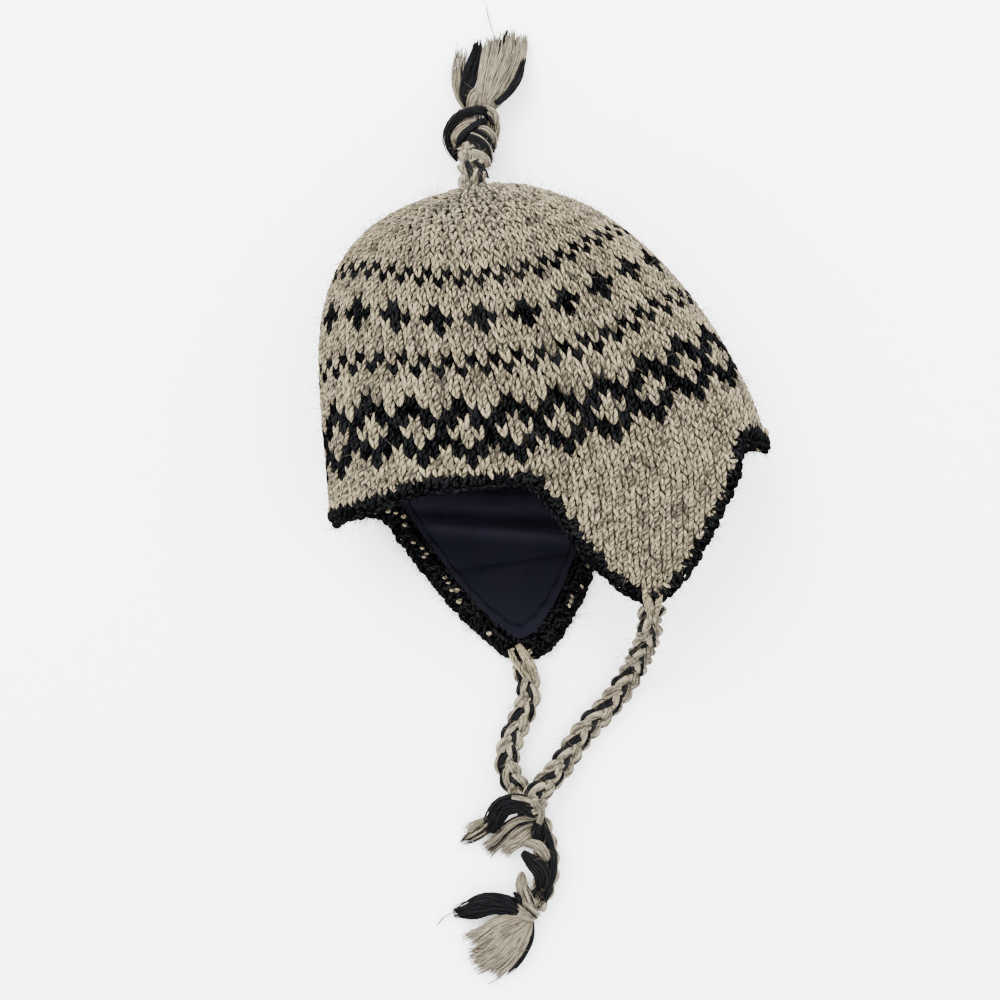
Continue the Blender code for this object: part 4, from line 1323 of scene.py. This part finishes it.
def add_lock_fibres(locks: tuple[Lock, ...], spots: tuple[Array, ...], fuzz: dict[Yarn, Fuzz]) -> None:
    """Add loose fibres that leave each lock, two for each of its strands.

    Args:
        locks: the locks.
        spots: the strands that each lock's fibres leave from.
        fuzz: the fibres of each wool.
    """
    for lock, strands in zip(locks, spots):
        roots = strands.reshape(-1, 3)
        out = np.tile((0.0, 0.0, 0.6), (len(roots), 1))
        fuzz[lock.yarn].add(roots, out, 2 * lock.strands, 0.0038, 0.5, lock.yarn)


def main() -> None:
    """Build the hat, its cords and its fibres."""
    logging.basicConfig(level=logging.INFO, format="%(name)s: %(message)s")
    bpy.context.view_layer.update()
    Studio().build()
    twist = twisted_yarn_group()
    wool, dark = NATURAL.made(twist), CHARCOAL.made(twist)
    tassel_wool = [PALE_LOCK.made(twist), DARK_LOCK.made(twist)]

    cloth = Cloth()
    edging = Edging(cloth)
    wool_fuzz, dark_fuzz = Fuzz("pale_fuzz", "natural_wool"), Fuzz("dark_fuzz", "charcoal_wool", seed=22)
    fuzz = {Yarn.NATURAL: wool_fuzz, Yarn.CHARCOAL: dark_fuzz}
    for side, middle, steps, wrap, tassel, root, seed in (
            ("left", cloth.flap_middles[0], LEFT_TIE_STEPS, LEFT_WRAP, LEFT_TASSEL, LEFT_ROOT, 31),
            ("right", cloth.flap_middles[1], RIGHT_TIE_STEPS, RIGHT_WRAP, RIGHT_TASSEL, RIGHT_ROOT, 41)):
        route = route_from(flap_tip(cloth, middle, edging, 0.012), steps)
        braid = Braid(f"{side}_braid", f"{side}_tie_braid", route, seed=seed)
        cord = braid.build(tassel_wool)
        knot = Locks(f"{side}_wrap", wrap, f"{side}_tie_knot", seed + 1)
        end = Locks(f"{side}_tassel", tassel, f"{side}_tie_tassel", seed + 2)
        through_edge = Locks(f"{side}_root", root, None, seed + 3, "braid_wool")
        pieces = [knot.build(tassel_wool), end.build(tassel_wool)]
        through_edge.build([wool, dark])
        wool_fuzz.add(*braid.spots, 360, 0.0060)
        add_lock_fibres((*wrap, *tassel), (*knot.spots, *end.spots), fuzz)

    apex, _ = cloth.lifted(np.array([0.0]), np.array([0.0]), np.array([0.0]))
    start = apex[0] + turned_way(np.array((0.0, 2.0 * CLEARANCE, 0.0)))
    top = Braid("crown_braid", "top_braid", route_from(start, TOP_BRAID_STEPS), 0.014, 0.030,
                charcoal=((0, 1), (1, 2), (1, 3), (2, 0), (2, 6)), seed=51)
    top.build(tassel_wool)
    crown_wrap = Locks("crown_wrap", TOP_WRAP, "top_knot", 52)
    crown_tassel = Locks("crown_tassel", TOP_TASSEL, "top_tassel", 53)
    crown_wrap.build(tassel_wool)
    crown_tassel.build(tassel_wool)
    wool_fuzz.add(*top.spots, 160, 0.0060)
    add_lock_fibres((*TOP_WRAP, *TOP_TASSEL), (*crown_wrap.spots, *crown_tassel.spots), fuzz)

    shell = KnitShell(cloth)
    shell.build(wool, dark)
    Lining(cloth).build(FleeceFinish().made())
    edging.build(wool, dark)
    for name, count in (("crown_stitches", 1700), ("body_stitches", 2000), ("flap_stitches", 800)):
        wool_fuzz.add(*shell.spots[name], count, 0.0042)
    dark_fuzz.add(*shell.spots["pattern_stitches"], 700, 0.0038, 0.5, Yarn.CHARCOAL)
    dark_fuzz.add(*edging.spots, 2600, 0.0046, 0.5, Yarn.CHARCOAL)
    wool_fuzz.build([wool, dark])
    dark_fuzz.build([wool, dark])


if __name__ == "__main__":
    main()
